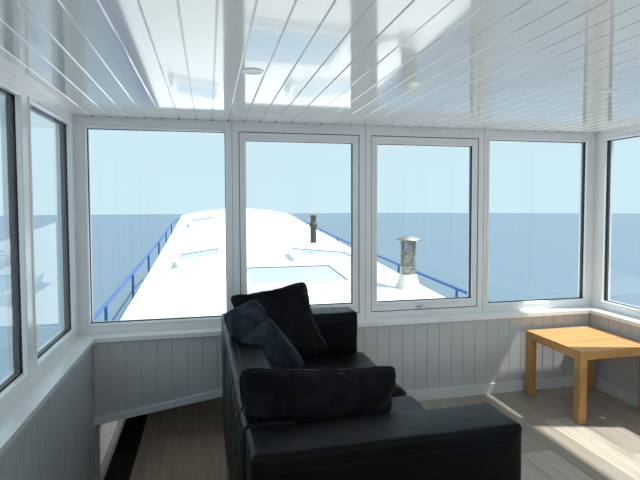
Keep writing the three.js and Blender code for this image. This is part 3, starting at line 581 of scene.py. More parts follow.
@dataclass(frozen=True)
class Plastic:
    """Smooth moulded or extruded plastic, with the faint waves that its shine shows."""

    name: str
    colour: Colour
    dusty: Colour
    roughness: float
    wave: float = 0.0
    wave_scale: Point = (6.0, 1.2, 6.0)
    coat: float = 0.0

    def make(self) -> bpy.types.Material:
        """Makes the material.

        Returns:
            The finished material.
        """
        bench = Bench(self.name).set(Coat_Weight=self.coat, Coat_Roughness=0.04)
        dust = bench.noise(4.0, 5.0)
        bench.paint(bench.mix(bench.span(dust, 0.45, 0.8, 0.0, 0.6), self.colour, self.dusty))
        bench.roughen(dust, self.roughness * 0.9, self.roughness * 1.25)
        if self.wave:
            bench.bump(bench.noise(1.0, 1.0, bench.stretched(self.wave_scale)), self.wave, 1.0)
        return bench.material


class Finishes:
    """Every finish of the boat, made once."""

    def __init__(self) -> None:
        """Makes the materials."""
        white_dirt = (0.6, 0.59, 0.55)
        made = [
            HullPaint(), HullPaint("rudder_paint", hollow=False), NonSlip(), Leather(),
            # Each velvet's third colour, its paler patches, is partly crushed pile and partly painted sheen.
            Velvet("charcoal_velvet", (0.0025, 0.003, 0.0045), (0.012, 0.013, 0.016), (0.75, 0.72, 0.72)),
            Velvet("blue_velvet", (0.01, 0.0135, 0.02), (0.042, 0.055, 0.078), (0.5, 0.65, 0.9)),
            Paint("blue_paint", (0.018, 0.085, 0.33), (0.03, 0.07, 0.16), 0.35, 0.5, 2.0),
            Paint("white_paint", (0.82, 0.84, 0.86), white_dirt, 0.38, 0.3, 0.9, 0.0003, 25.0),
            Paint("grey_boards", (0.54, 0.55, 0.565), (0.42, 0.43, 0.45), 0.5, 0.5, 3.0, 0.0004, 120.0),
            Paint("grey_trim", (0.66, 0.67, 0.68), (0.52, 0.53, 0.55), 0.42, 0.4, 3.0, 0.0003, 120.0),
            Paint("flue_paint", (0.045, 0.042, 0.038), (0.11, 0.08, 0.055), 0.6, 0.7, 9.0, 0.0008),
            Paint("engine_iron", (0.02, 0.07, 0.05), (0.03, 0.028, 0.025), 0.5, 0.6, 5.0),
            Paint("flashing", (0.72, 0.71, 0.68), (0.42, 0.4, 0.36), 0.55, 0.6, 8.0, 0.001, 40.0),
            Wood("floor_planks", (0.56, 0.505, 0.43), (0.33, 0.29, 0.24), Axis.Y, 0.4, 16.0, toned=True),
            Wood("oak_x", (0.62, 0.36, 0.135), (0.44, 0.225, 0.07), Axis.X, 0.42, 15.0),
            Wood("oak_y", (0.62, 0.36, 0.135), (0.44, 0.225, 0.07), Axis.Y, 0.42, 15.0),
            Wood("oak_z", (0.58, 0.33, 0.125), (0.4, 0.2, 0.065), Axis.Z, 0.42, 15.0),
            Plastic("white_plastic", (0.83, 0.84, 0.85), (0.74, 0.75, 0.75), 0.22, coat=0.2),
            Plastic("ceiling_planks", (0.86, 0.855, 0.84), (0.8, 0.8, 0.79), 0.1, 0.0016, coat=0.6),
            Plastic("black_rubber", (0.008, 0.008, 0.009), (0.03, 0.03, 0.03), 0.5),
            Plastic("white_lamp", (0.9, 0.9, 0.88), (0.85, 0.85, 0.82), 0.3),
            Metal("bright_steel", (0.78, 0.78, 0.79), (0.5, 0.5, 0.5), 0.14),
            Metal("galvanised", (0.42, 0.42, 0.4), (0.07, 0.045, 0.03), 0.42, 0.75, 26.0),
            Metal("window_rim", (0.66, 0.67, 0.68), (0.4, 0.4, 0.4), 0.28, 0.2),
            Metal("bronze", (0.55, 0.33, 0.13), (0.16, 0.2, 0.12), 0.35, 0.5, 14.0),
            ClearGlass("window_glass", (0.965, 0.98, 0.985)),
            # Painted reflection: the rooflight panes' pale blue stands in for the sky they mirror.
            PaintedLightGlass("rooflight_glass", (0.4, 0.55, 0.7), (0.5, 0.63, 0.76), 0.9),
            # Painted shade: the cabin panes' near-black stands in for the dark cabin behind them.
            PaintedLightGlass("cabin_glass", (0.02, 0.028, 0.034), (0.03, 0.04, 0.05), 0.93),
        ]
        self.by_name = {finish.name: finish.make() for finish in made}

    def __getitem__(self, name: str) -> bpy.types.Material:
        """Returns the material of that name."""
        return self.by_name[name]


# Shapes


@dataclass(frozen=True)
class Face:
    """A flat face to build on: where it lies, and its ways along, up and out."""

    origin: Vector
    along: Vector
    up: Vector
    out: Vector

    def at(self, u: float, v: float, w: float = 0.0) -> Vector:
        """Returns the point that lies u along, v up and w out."""
        return self.origin + self.along * u + self.up * v + self.out * w


class Form:
    """One mesh in the making."""

    def __init__(self, place: Matrix | None = None) -> None:
        """Starts an empty mesh.

        Args:
            place: Moves every point that is added, from a local frame into the boat's.
        """
        self.bm = bmesh.new()
        self.place = place or Matrix.Identity(4)
        self.tones: list[float] = []

    def points(self, where: Iterable[Vector]) -> list[bmesh.types.BMVert]:
        """Adds points.

        Args:
            where: Their places in the form's own frame.

        Returns:
            The new points.
        """
        return [self.bm.verts.new(self.place @ Vector(point)) for point in where]

    def faces(self, loops: Iterable[Sequence[bmesh.types.BMVert]], tone: float = 0.0) -> None:
        """Adds faces.

        Args:
            loops: The points round each.
            tone: A shade from 0 to 1 that toned finishes read.
        """
        for loop in loops:
            self.bm.faces.new(loop)
            self.tones.append(tone)

    def block(self, low: Point, high: Point, tone: float = 0.0, chamfer: float = 0.0) -> "Form":
        """Adds a block whose upper edges may be chamfered.

        Args:
            low: Its lowest corner.
            high: Its highest corner.
            tone: Its shade.
            chamfer: Width of the chamfer round its top.

        Returns:
            The form.
        """
        rings = []
        levels = [(low[2], 0.0), (high[2], 0.0)]
        if chamfer:
            levels = [(low[2], 0.0), (high[2] - chamfer, 0.0), (high[2], chamfer)]
        for z, inset in levels:
            x0, x1, y0, y1 = low[0] + inset, high[0] - inset, low[1] + inset, high[1] - inset
            corners = ((x0, y0, z), (x1, y0, z), (x1, y1, z), (x0, y1, z))
            rings.append(self.points(Vector(corner) for corner in corners))
        self.skin(rings, tone)
        return self

    def skin(self, rings: list[list[bmesh.types.BMVert]], tone: float = 0.0, closed: bool = False) -> None:
        """Joins rings of equally many points, and caps the ends unless the row closes on itself.

        Args:
            rings: The rings in order.
            tone: The shade of the new faces.
            closed: Whether the last ring joins the first.
        """
        count = len(rings[0])
        pairs = list(zip(rings, rings[1:] + rings[:1])) if closed else list(zip(rings, rings[1:]))
        for first, second in pairs:
            for k in range(count):
                step = (k + 1) % count
                self.faces([(first[k], first[step], second[step], second[k])], tone)
        if not closed:
            self.faces([tuple(reversed(rings[0])), tuple(rings[-1])], tone)

    def tube(self, path: Sequence[Vector], radius: float, sides: int = 12, closed: bool = False) -> "Form":
        """Adds a round bar along a path.

        Args:
            path: The points that it follows.
            radius: Its radius.
            sides: Points round it.
            closed: Whether the path is a loop.

        Returns:
            The form.
        """
        rings = []
        normal = None
        count = len(path)
        for k, point in enumerate(path):
            before = path[k - 1] if k or closed else path[0]
            after = path[(k + 1) % count] if k < count - 1 or closed else path[-1]
            way = (Vector(after) - Vector(before)).normalized()
            if normal is None:
                normal = way.orthogonal().normalized()
            normal = (normal - way * normal.dot(way)).normalized()
            side = way.cross(normal)
            turns = [2 * math.pi * n / sides for n in range(sides)]
            rings.append(self.points([
                Vector(point) + (normal * math.cos(t) + side * math.sin(t)) * radius for t in turns
            ]))
        self.skin(rings, closed=closed)
        return self

    def turned(self, profile: Profile, centre: Point, out: Vector = UP, sides: int = 48) -> "Form":
        """Adds a turned piece.

        Args:
            profile: Pairs of radius and height, from one end of the axis to the other.
            centre: Where height 0 lies.
            out: The way that height runs.
            sides: Points round it.

        Returns:
            The form.
        """
        least = 1e-4
        out = out.normalized()
        across = out.orthogonal().normalized()
        side = out.cross(across)
        rings = []
        for radius, height in profile:
            ring = []
            for k in range(sides):
                turn = 2 * math.pi * k / sides
                spoke = across * math.cos(turn) + side * math.sin(turn)
                ring.append(Vector(centre) + out * height + spoke * max(radius, least))
            rings.append(self.points(ring))
        self.skin(rings)
        return self

    def rim(self, face: Face, outline: Outline, profile: Profile) -> "Form":
        """Adds a moulding that follows an outline on a face.

        Args:
            face: The face that it lies on.
            outline: Points with their outward ways.
            profile: Its section, as pairs of distance outward and height off the face.

        Returns:
            The form.
        """
        rings = []
        for point, way in outline:
            rings.append(self.points([
                face.at(point.x + way.x * out, point.y + way.y * out, lift) for out, lift in profile
            ]))
        self.skin(rings, closed=True)
        return self

    def plate(self, face: Face, outline: Outline, inset: float, low: float, high: float) -> "Form":
        """Adds a flat plate with an outline's shape.

        Args:
            face: The face that it lies on.
            outline: Points with their outward ways.
            inset: How far it stays inside the outline.
            low: Its lower side's height off the face.
            high: Its upper side's height off the face.

        Returns:
            The form.
        """
        rings = []
        for lift in (low, high):
            rings.append(self.points([
                face.at(point.x - way.x * inset, point.y - way.y * inset, lift) for point, way in outline
            ]))
        self.skin(rings)
        return self

    def piece(self, name: str, material: bpy.types.Material, body: str = BOAT, slot: str | None = None,
              crease: float = 35.0, bevel: float = 0.0) -> bpy.types.Object:
        """Turns the form into a piece of the boat.

        Args:
            name: The piece's name.
            material: Its finish.
            body: The body that it rides on.
            slot: The record's slot, or None for the finish's own; not used.
            crease: Edges sharper than this many degrees stay sharp.
            bevel: Width of a round on every sharp edge.

        Returns:
            The new object.
        """
        bmesh.ops.recalc_face_normals(self.bm, faces=self.bm.faces)
        mesh = bpy.data.meshes.new(name)
        self.bm.to_mesh(mesh)
        self.bm.free()
        if any(self.tones):
            tone = mesh.attributes.new("tone", "FLOAT", "FACE")
            tone.data.foreach_set("value", self.tones)
        return finished(mesh, name, material, body, crease, bevel)


def finished(mesh: bpy.types.Mesh, name: str, material: bpy.types.Material, body: str = BOAT,
             crease: float = 35.0, bevel: float = 0.0) -> bpy.types.Object:
    """Makes an object of a mesh and hangs it on its body.

    Args:
        mesh: The mesh.
        name: The piece's name.
        material: Its finish.
        body: The body that it rides on.
        crease: Edges sharper than this many degrees stay sharp.
        bevel: Width of a round on every sharp edge.

    Returns:
        The new object.
    """
    mesh.materials.append(material)
    mesh.shade_smooth()
    mesh.set_sharp_from_angle(angle=math.radians(crease))
    piece = bpy.data.objects.new(name, mesh)
    bpy.context.scene.collection.objects.link(piece)
    if bevel:
        rounding = piece.modifiers.new("rounding", "BEVEL")
        rounding.width = bevel
        rounding.segments = 2
        rounding.limit_method = "ANGLE"
        rounding.angle_limit = math.radians(crease)
        rounding.harden_normals = True
    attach(piece, body)
    return piece


def rectangle(u0: float, u1: float, v0: float, v1: float) -> Outline:
    """Gives a rectangle with mitred corners.

    Args:
        u0: Its low side along.
        u1: Its high side along.
        v0: Its low side up.
        v1: Its high side up.

    Returns:
        The outline.
    """
    corners = [(u0, v0, -1, -1), (u1, v0, 1, -1), (u1, v1, 1, 1), (u0, v1, -1, 1)]
    return [(Vector((u, v)), Vector((du, dv))) for u, v, du, dv in corners]


def rounded(u: float, v: float, width: float, height: float, radius: float, steps: int = 6) -> Outline:
    """Gives a rectangle with round corners.

    Args:
        u: Its middle along.
        v: Its middle up.
        width: Its size along.
        height: Its size up.
        radius: The corners' radius.
        steps: Steps round each corner.

    Returns:
        The outline.
    """
    outline = []
    for corner, (su, sv) in enumerate(((1, 1), (-1, 1), (-1, -1), (1, -1))):
        for step in range(steps + 1):
            turn = math.pi / 2 * (corner + step / steps)
            way = Vector((math.cos(turn), math.sin(turn)))
            middle = Vector((u + su * (width / 2 - radius), v + sv * (height / 2 - radius)))
            outline.append((middle + way * radius, way))
    return outline


def room_faces(front: float, aft: float, inside: float) -> dict[str, Face]:
    """Gives the faces of the deckhouse's four walls, each looking into the room.

    Args:
        front: Where the front face lies along the boat.
        aft: Where the aft face lies.
        inside: How far the side faces lie from the middle.

    Returns:
        The faces by wall.
    """
    return {
        "front": Face(Vector((0, front, 0)), STARBOARD, UP, -BOW),
        "aft": Face(Vector((0, aft, 0)), STARBOARD, UP, BOW),
        "port": Face(Vector((-inside, 0, 0)), BOW, UP, STARBOARD),
        "starboard": Face(Vector((inside, 0, 0)), BOW, UP, -STARBOARD),
    }


def dress(names: Iterable[str], material: bpy.types.Material, crease: float = 35.0) -> None:
    """Gives nodes of the model a finish.

    Args:
        names: The nodes.
        material: The finish.
        crease: Edges sharper than this many degrees stay sharp.
    """
    for name in names:
        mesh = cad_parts[name].data
        mesh.materials.clear()
        mesh.materials.append(material)
        mesh.shade_smooth()
        mesh.set_sharp_from_angle(angle=math.radians(crease))


# Lines of the boat that several parts follow


def deck_height(y: float) -> float:
    """Returns the height of the deck at that length along the boat."""
    lowest, rise, bow_curve, stern, stern_curve = 1.3, 0.0271, 0.00146, -10.3, 0.02
    ahead = max(0.0, y - FRONT_WALL)
    astern = max(0.0, stern - y)
    return lowest + rise * ahead + bow_curve * ahead**2 + stern_curve * astern**2


def roof_top(x: float, y: float) -> float:
    """Returns the height of the cabin roof's upper side there."""
    edge, rise, curve, camber, half_width = 2.0, 0.055, 0.0007, 0.25, 2.0
    ahead = y - FRONT_WALL
    return edge + rise * ahead + curve * ahead * abs(ahead) + camber * (1 - (x / half_width) ** 2)


@dataclass
class Studio:
    """Pale floor at the waterline, soft light, and the camera at the photograph's place."""

    waterline: float = 0.75
    reach: float = 150.0
    tuck: Point = (0.975, 0.995, 1.0)
    slimness: float = 4.0
    least_turn: float = 0.01
    shade: Colour = (0.105, 0.16, 0.215)
    eye: Point = (-1.03452, -8.79523, 3.38045)
    yaw: float = 12.68059
    pitch: float = 2.48527
    roll: float = 0.17988
    focal: float = 494.04874
    axis_row: float = 226.15892
    width: int = 640
    height: int = 480
    sensor: float = 36.0
    clip: tuple[float, float] = (0.05, 500.0)
    exposure: float = -0.3
    sky: Colour = (0.7, 0.92, 1.0)
    sky_strength: float = 1.2
    sun_from: Point = (0.75, -0.19, 1.29)
    sun_energy: float = 10.0
    sun_spread: float = 1.5
    sun_colour: Colour = (1.0, 0.96, 0.9)
    fill_colour: Colour = (1.0, 0.97, 0.93)
    fills: tuple[tuple[Point, Point, tuple[float, float], float], ...] = (
        ((0.3, -9.45, 3.45), (0.1, -5.6, 2.9), (2.6, 0.8), 12.0),
        ((0.0, -7.4, 2.75), (0.0, -7.0, 4.0), (2.6, 3.0), 8.0),
        ((-1.25, -3.9, 2.0), (-1.25, -3.6, 0.4), (0.9, 1.8), 9.0),
    )

    def lay_floor(self) -> None:
        """Lays the floor, open where the hull stands in it."""
        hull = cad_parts["hull"].data
        cut = bmesh.new()
        cut.from_mesh(hull)
        level = Vector((0, 0, self.waterline))
        parts = bmesh.ops.bisect_plane(
            cut, geom=cut.verts[:] + cut.edges[:] + cut.faces[:], plane_co=level, plane_no=UP,
        )["geom_cut"]
        edge = [part.co.copy() for part in parts if isinstance(part, bmesh.types.BMVert)]
        cut.free()
        outer = [point for point in edge if self.is_outermost(point, edge)]
        middle = sum(outer, Vector()) / len(outer)
        shrink = Matrix.Diagonal(self.tuck)
        tucked = [middle + shrink @ (point - middle) for point in outer]
        turned = sorted((math.atan2(point.x * self.slimness, point.y), point) for point in tucked)
        hole, far, last = [], [], -math.tau
        for turn, point in turned:
            if turn - last > self.least_turn:
                hole.append(point)
                away = (math.sin(turn) * self.reach, math.cos(turn) * self.reach)
                far.append(Vector((*away, self.waterline)))
                last = turn
        form = Form()
        inner, rim = form.points(hole), form.points(far)
        for k in range(len(inner)):
            step = (k + 1) % len(inner)
            form.faces([(inner[k], inner[step], rim[step], rim[k])])
        mesh = bpy.data.meshes.new("studio_floor")
        form.bm.to_mesh(mesh)
        form.bm.free()
        floor = bpy.data.objects.new("studio_floor", mesh)
        bpy.context.scene.collection.objects.link(floor)
        bench = Bench("studio_floor").set(Roughness=0.75)
        bench.paint(self.shade)
        mesh.materials.append(bench.material)
        floor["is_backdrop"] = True

    @staticmethod
    def is_outermost(point: Vector, others: list[Vector]) -> bool:
        """Tells whether a point of the hull's waterline lies on its outer plating.

        Args:
            point: The point.
            others: Every point of the cut.

        Returns:
            True if none lies farther out beside it.
        """
        near, off_middle, plating = 0.2, 0.001, 0.02
        beside = [other for other in others if abs(other.y - point.y) < near and other.x * point.x >= 0]
        return abs(point.x) > off_middle and abs(point.x) >= max(abs(other.x) for other in beside) - plating

    def light(self) -> None:
        """Sets the sky and the lamps."""
        world = bpy.data.worlds.new("studio")
        bpy.context.scene.world = world
        world.use_nodes = True
        background = next(n for n in world.node_tree.nodes if n.type == "BACKGROUND")
        background.inputs["Color"].default_value = (*self.sky, 1.0)
        background.inputs["Strength"].default_value = self.sky_strength
        lamp = bpy.data.lights.new("key", "SUN")
        lamp.energy = self.sun_energy
        lamp.angle = math.radians(self.sun_spread)
        lamp.color = self.sun_colour
        key = bpy.data.objects.new("key", lamp)
        key.rotation_mode = "QUATERNION"
        key.rotation_quaternion = Vector(self.sun_from).to_track_quat("Z", "Y")
        bpy.context.scene.collection.objects.link(key)
        for k, (where, towards, size, power) in enumerate(self.fills):
            panel = bpy.data.lights.new(f"fill_{k}", "AREA")
            panel.shape = "RECTANGLE"
            panel.size, panel.size_y = size
            panel.energy = power
            panel.color = self.fill_colour
            fill = bpy.data.objects.new(f"fill_{k}", panel)
            fill.location = where
            fill.rotation_mode = "QUATERNION"
            fill.rotation_quaternion = (Vector(where) - Vector(towards)).to_track_quat("Z", "Y")
            fill.visible_glossy = fill.visible_camera = False
            bpy.context.scene.collection.objects.link(fill)

    def place_camera(self) -> None:
        """Puts the camera where the photograph was taken, with its view."""
        yaw, pitch, roll = (math.radians(turn) for turn in (self.yaw, self.pitch, self.roll))
        ahead = Vector((math.sin(yaw) * math.cos(pitch), math.cos(yaw) * math.cos(pitch), -math.sin(pitch)))
        level = Vector((math.cos(yaw), -math.sin(yaw), 0.0))
        down = ahead.cross(level)
        right = level * math.cos(roll) + down * math.sin(roll)
        low = down * math.cos(roll) - level * math.sin(roll)
        turn = Matrix((right, -low, -ahead)).transposed()
        lens = bpy.data.cameras.new("camera")
        lens.sensor_width = self.sensor
        lens.sensor_fit = "HORIZONTAL"
        lens.lens = self.focal / self.width * lens.sensor_width
        lens.shift_y = (self.axis_row - self.height / 2) / self.width
        lens.clip_start, lens.clip_end = self.clip
        camera = bpy.data.objects.new("camera", lens)
        camera.matrix_world = Matrix.Translation(self.eye) @ turn.to_4x4()
        bpy.context.scene.collection.objects.link(camera)
        bpy.context.scene.camera = camera

    def build(self) -> None:
        """Sets the whole studio."""
        self.lay_floor()
        self.light()
        self.place_camera()
        settings = bpy.context.scene.view_settings
        settings.view_transform = "Standard"
        settings.look = "None"
        settings.exposure = self.exposure


@dataclass
class Glazing:
    """The deckhouse's window trim: beads, gaskets, spacer bars, seams, vents and handles."""

    finishes: Finishes
    inside: float = WALL_FACE
    fore: float = FRONT_WALL
    aft: float = AFT_WALL
    depth: float = 0.07
    low: float = 2.661
    high: float = 3.843
    corner: float = 0.035
    jamb: float = 0.042
    end: float = 0.03
    units: int = 4
    sash_low: float = 2.648
    sash_high: float = 3.842
    sash_inset: float = 0.005
    sash_thick: float = 0.055
    swing: float = 0.005
    stile: float = 0.038
    head: float = 0.049
    foot: float = 0.058
    vent: tuple[float, float, float, float] = (3.872, 0.225, 0.016, 0.007)
    joint: tuple[float, float, float] = (0.0006, 2.604, 3.909)
    lock: tuple[float, float] = (0.352, 3.02)
    latch: float = 3.05
    bead: Profile = ((-0.0006, -0.0222), (-0.0006, 0.0015), (0.004, 0.0055), (0.015, 0.0055), (0.019, 0.0))
    gasket: Profile = ((-0.0022, -0.0228), (-0.0022, -0.0195), (-0.0006, -0.017), (-0.0006, -0.0228))
    spacer: Profile = ((-0.0032, -0.041), (-0.0032, -0.029), (0.003, -0.029), (0.003, -0.041))
    side_count: int = 5
    side_corner: float = 0.1
    side_width: float = 0.649
    side_mullion: float = 0.118
    aft_inner: float = 0.53
    aft_outer: float = 1.68

    def seam(self, k: int) -> float:
        """Returns where the kth seam between the front units lies."""
        return (self.inside - self.corner) * (2 * k / self.units - 1)

    def walls(self) -> dict[str, Face]:
        """Returns the inner faces of the four window walls."""
        return room_faces(self.fore, self.aft, self.inside)

    @staticmethod
    def sunk(profile: Profile, share: float) -> Profile:
        """Makes the part of a section that lies below the face shallower.

        Args:
            profile: The section.
            share: How much of that depth is left.

        Returns:
            The new section.
        """
        return tuple((out, lift * (share if lift < 0 else 1.0)) for out, lift in profile)

    def openings(self) -> dict[str, list[Outline]]:
        """Gives the outline of each fixed pane, by wall.

        Returns:
            The outlines by wall.
        """
        front = [
            rectangle(self.seam(0) + self.end, self.seam(1) - self.jamb, self.low, self.high),
            rectangle(self.seam(3) + self.jamb, self.seam(4) - self.end, self.low, self.high),
        ]
        sides = []
        for k in range(self.side_count):
            start = self.fore - self.side_corner - k * (self.side_width + self.side_mullion)
            sides.append(rectangle(start - self.side_width, start, self.low, self.high))
        aft = [
            rectangle(self.aft_inner, self.aft_outer, self.low, self.high),
            rectangle(-self.aft_outer, -self.aft_inner, self.low, self.high),
        ]
        return {"front": front, "aft": aft, "port": sides, "starboard": sides}

    def trim_fixed(self) -> None:
        """Adds beads, gaskets and spacer bars to every fixed pane, inside and out."""
        for wall, face in self.walls().items():
            beads, gaskets, spacers = Form(), Form(), Form()
            outer = Face(face.origin - face.out * self.depth, face.along, face.up, -face.out)
            for outline in self.openings()[wall]:
                for side in (face, outer):
                    beads.rim(side, outline, self.bead)
                    gaskets.rim(side, outline, self.gasket)
                spacers.rim(face, outline, self.spacer)
            beads.piece(f"beads_{wall}", self.finishes["white_plastic"], crease=20)
            gaskets.piece(f"gaskets_{wall}", self.finishes["black_rubber"])
            spacers.piece(f"spacers_{wall}", self.finishes["black_rubber"])

    def trim_sashes(self) -> None:
        """Adds the trim that swings with each sash, its handle, and the seal round it."""
        front = self.walls()["front"]
        seals, vents = Form(), Form()
        for k, side in ((1, "port"), (2, "starboard")):
            body = f"sash_{side}_body"
            u0, u1 = self.seam(k) + self.jamb + self.swing, self.seam(k + 1) - self.jamb - self.swing
            face = Face(front.origin + BOW * self.sash_inset, front.along, front.up, front.out)
            outer = Face(face.origin + BOW * self.sash_thick, front.along, front.up, -front.out)
            light = rectangle(
                u0 + self.stile, u1 - self.stile, self.sash_low + self.foot, self.sash_high - self.head,
            )
            beads, rubber = Form(), Form()
            for way in (face, outer):
                beads.rim(way, light, self.sunk(self.bead, 0.7))
                rubber.rim(way, light, self.sunk(self.gasket, 0.67))
            rubber.rim(face, light, tuple((out, lift + 0.0075) for out, lift in self.spacer))
            beads.piece(f"sash_{side}_beads", self.finishes["white_plastic"], body, crease=20)
            rubber.piece(f"sash_{side}_rubber", self.finishes["black_rubber"], body)
            seals.rim(front, rectangle(u0, u1, self.sash_low, self.sash_high), (
                (0.0004, -0.045), (0.0004, -0.006), (0.0046, -0.006), (0.0046, -0.045),
            ))
            middle = (u0 + u1) / 2
            slot = rounded(middle, *self.vent)
            vents.rim(front, slot, ((0.0, 0.0), (0.0, 0.007), (0.003, 0.005), (0.004, 0.0)))
            vents.plate(front, slot, 0.0, 0.0, 0.0045)
            self.add_handle(face, middle - 0.04, self.sash_low + 0.02, side, body)
        seals.piece("sash_seals", self.finishes["black_rubber"])
        vents.piece("trickle_vents", self.finishes["white_plastic"], crease=30)

    def add_handle(self, face: Face, u: float, v: float, side: str, body: str) -> None:
        """Adds a sash handle: a rose and a cranked lever on the bottom rail.

        Args:
            face: The sash's inner face.
            u: The rose's place along.
            v: Its height.
            side: The sash's name.
            body: The sash's body.
        """
        form = Form()
        rose = rounded(u, v, 0.06, 0.026, 0.012)
        form.rim(face, rose, ((-0.003, 0.01), (0.0, 0.008), (0.0, 0.0), (-0.008, 0.0), (-0.008, 0.01)))
        form.plate(face, rose, 0.003, 0.0, 0.0102)
        form.turned([(0.0, 0.0), (0.009, 0.0), (0.009, 0.03), (0.0, 0.032)], face.at(u, v), face.out, 24)
        lever = [(0.0, 0.0, 0.026), (0.03, 0.0, 0.034), (0.07, 0.001, 0.036), (0.105, 0.002, 0.034)]
        form.tube([face.at(u + du, v + dv, w) for du, dv, w in lever], 0.0065, 16)
        form.piece(f"sash_{side}_handle", self.finishes["bright_steel"], body, crease=40)

    def add_seams(self) -> None:
        """Adds the dark joints between the front units."""
        face = self.walls()["front"]
        joints = Form()
        half, low, high = self.joint
        for k in range(1, self.units):
            strip = rectangle(self.seam(k) - half, self.seam(k) + half, low, high)
            joints.rim(face, strip, ((0.0, -0.004), (0.0, 0.0004), (0.0004, 0.0004), (0.0004, -0.004)))
            joints.plate(face, strip, 0.0, -0.004, 0.0005)
        joints.piece("unit_joints", self.finishes["black_rubber"])

    def dress_nodes(self) -> None:
        """Finishes the frames, sashes, panes, sill and door of the model."""
        plastic = [
            "window_frame_front", "window_frame_port", "window_frame_starboard", "window_frame_aft",
            "sash_port", "sash_starboard", "aft_door", "window_sill",
        ]
        panes = [
            "glass_front_port", "glass_front_starboard", "glass_port", "glass_starboard", "glass_aft_port",
            "glass_aft_starboard", "sash_port_glass", "sash_starboard_glass", "aft_door_glass",
        ]
        dress(plastic, self.finishes["white_plastic"])
        dress(panes, self.finishes["window_glass"])

    def trim_door(self) -> None:
        """Adds the aft door's beads, its lower panel's mouldings, handles and lock plates."""
        body = "door_body"
        inset, thick = 0.01, 0.05
        u, v = self.lock
        inner = Face(Vector((0, self.aft - inset, 0)), STARBOARD, UP, BOW)
        outer = Face(inner.origin - BOW * thick, inner.along, inner.up, -inner.out)
        light = rectangle(-0.305, 0.301, 2.9, 3.747)
        panel = rectangle(-0.305, 0.301, 2.14, 2.8)
        beads, rubber, steel = Form(), Form(), Form()
        for face in (inner, outer):
            beads.rim(face, light, self.sunk(self.bead, 0.55))
            beads.rim(face, panel, ((0.0, 0.0), (0.003, 0.006), (0.02, 0.004), (0.024, 0.0)))
            rubber.rim(face, light, self.sunk(self.gasket, 0.55))
            steel.plate(face, rounded(u, v, 0.034, 0.2, 0.016), 0.0, 0.0, 0.006)
            spindle = [(0.0, 0.0), (0.008, 0.0), (0.008, 0.035), (0.0, 0.036)]
            steel.turned(spindle, face.at(u, self.latch), face.out, 20)
            lever = [(0.0, 0.0, 0.03), (-0.03, 0.0, 0.04), (-0.08, 0.001, 0.042), (-0.12, 0.002, 0.038)]
            steel.tube([face.at(u + du, self.latch + dv, w) for du, dv, w in lever], 0.0075, 14)
        beads.piece("door_beads", self.finishes["white_plastic"], body, crease=20)
        rubber.piece("door_rubber", self.finishes["black_rubber"], body)
        steel.piece("door_handles", self.finishes["bright_steel"], body, crease=40)

    def build(self) -> None:
        """Builds the trim of every window and of the aft door."""
        self.dress_nodes()
        self.trim_fixed()
        self.trim_sashes()
        self.add_seams()
        self.trim_door()


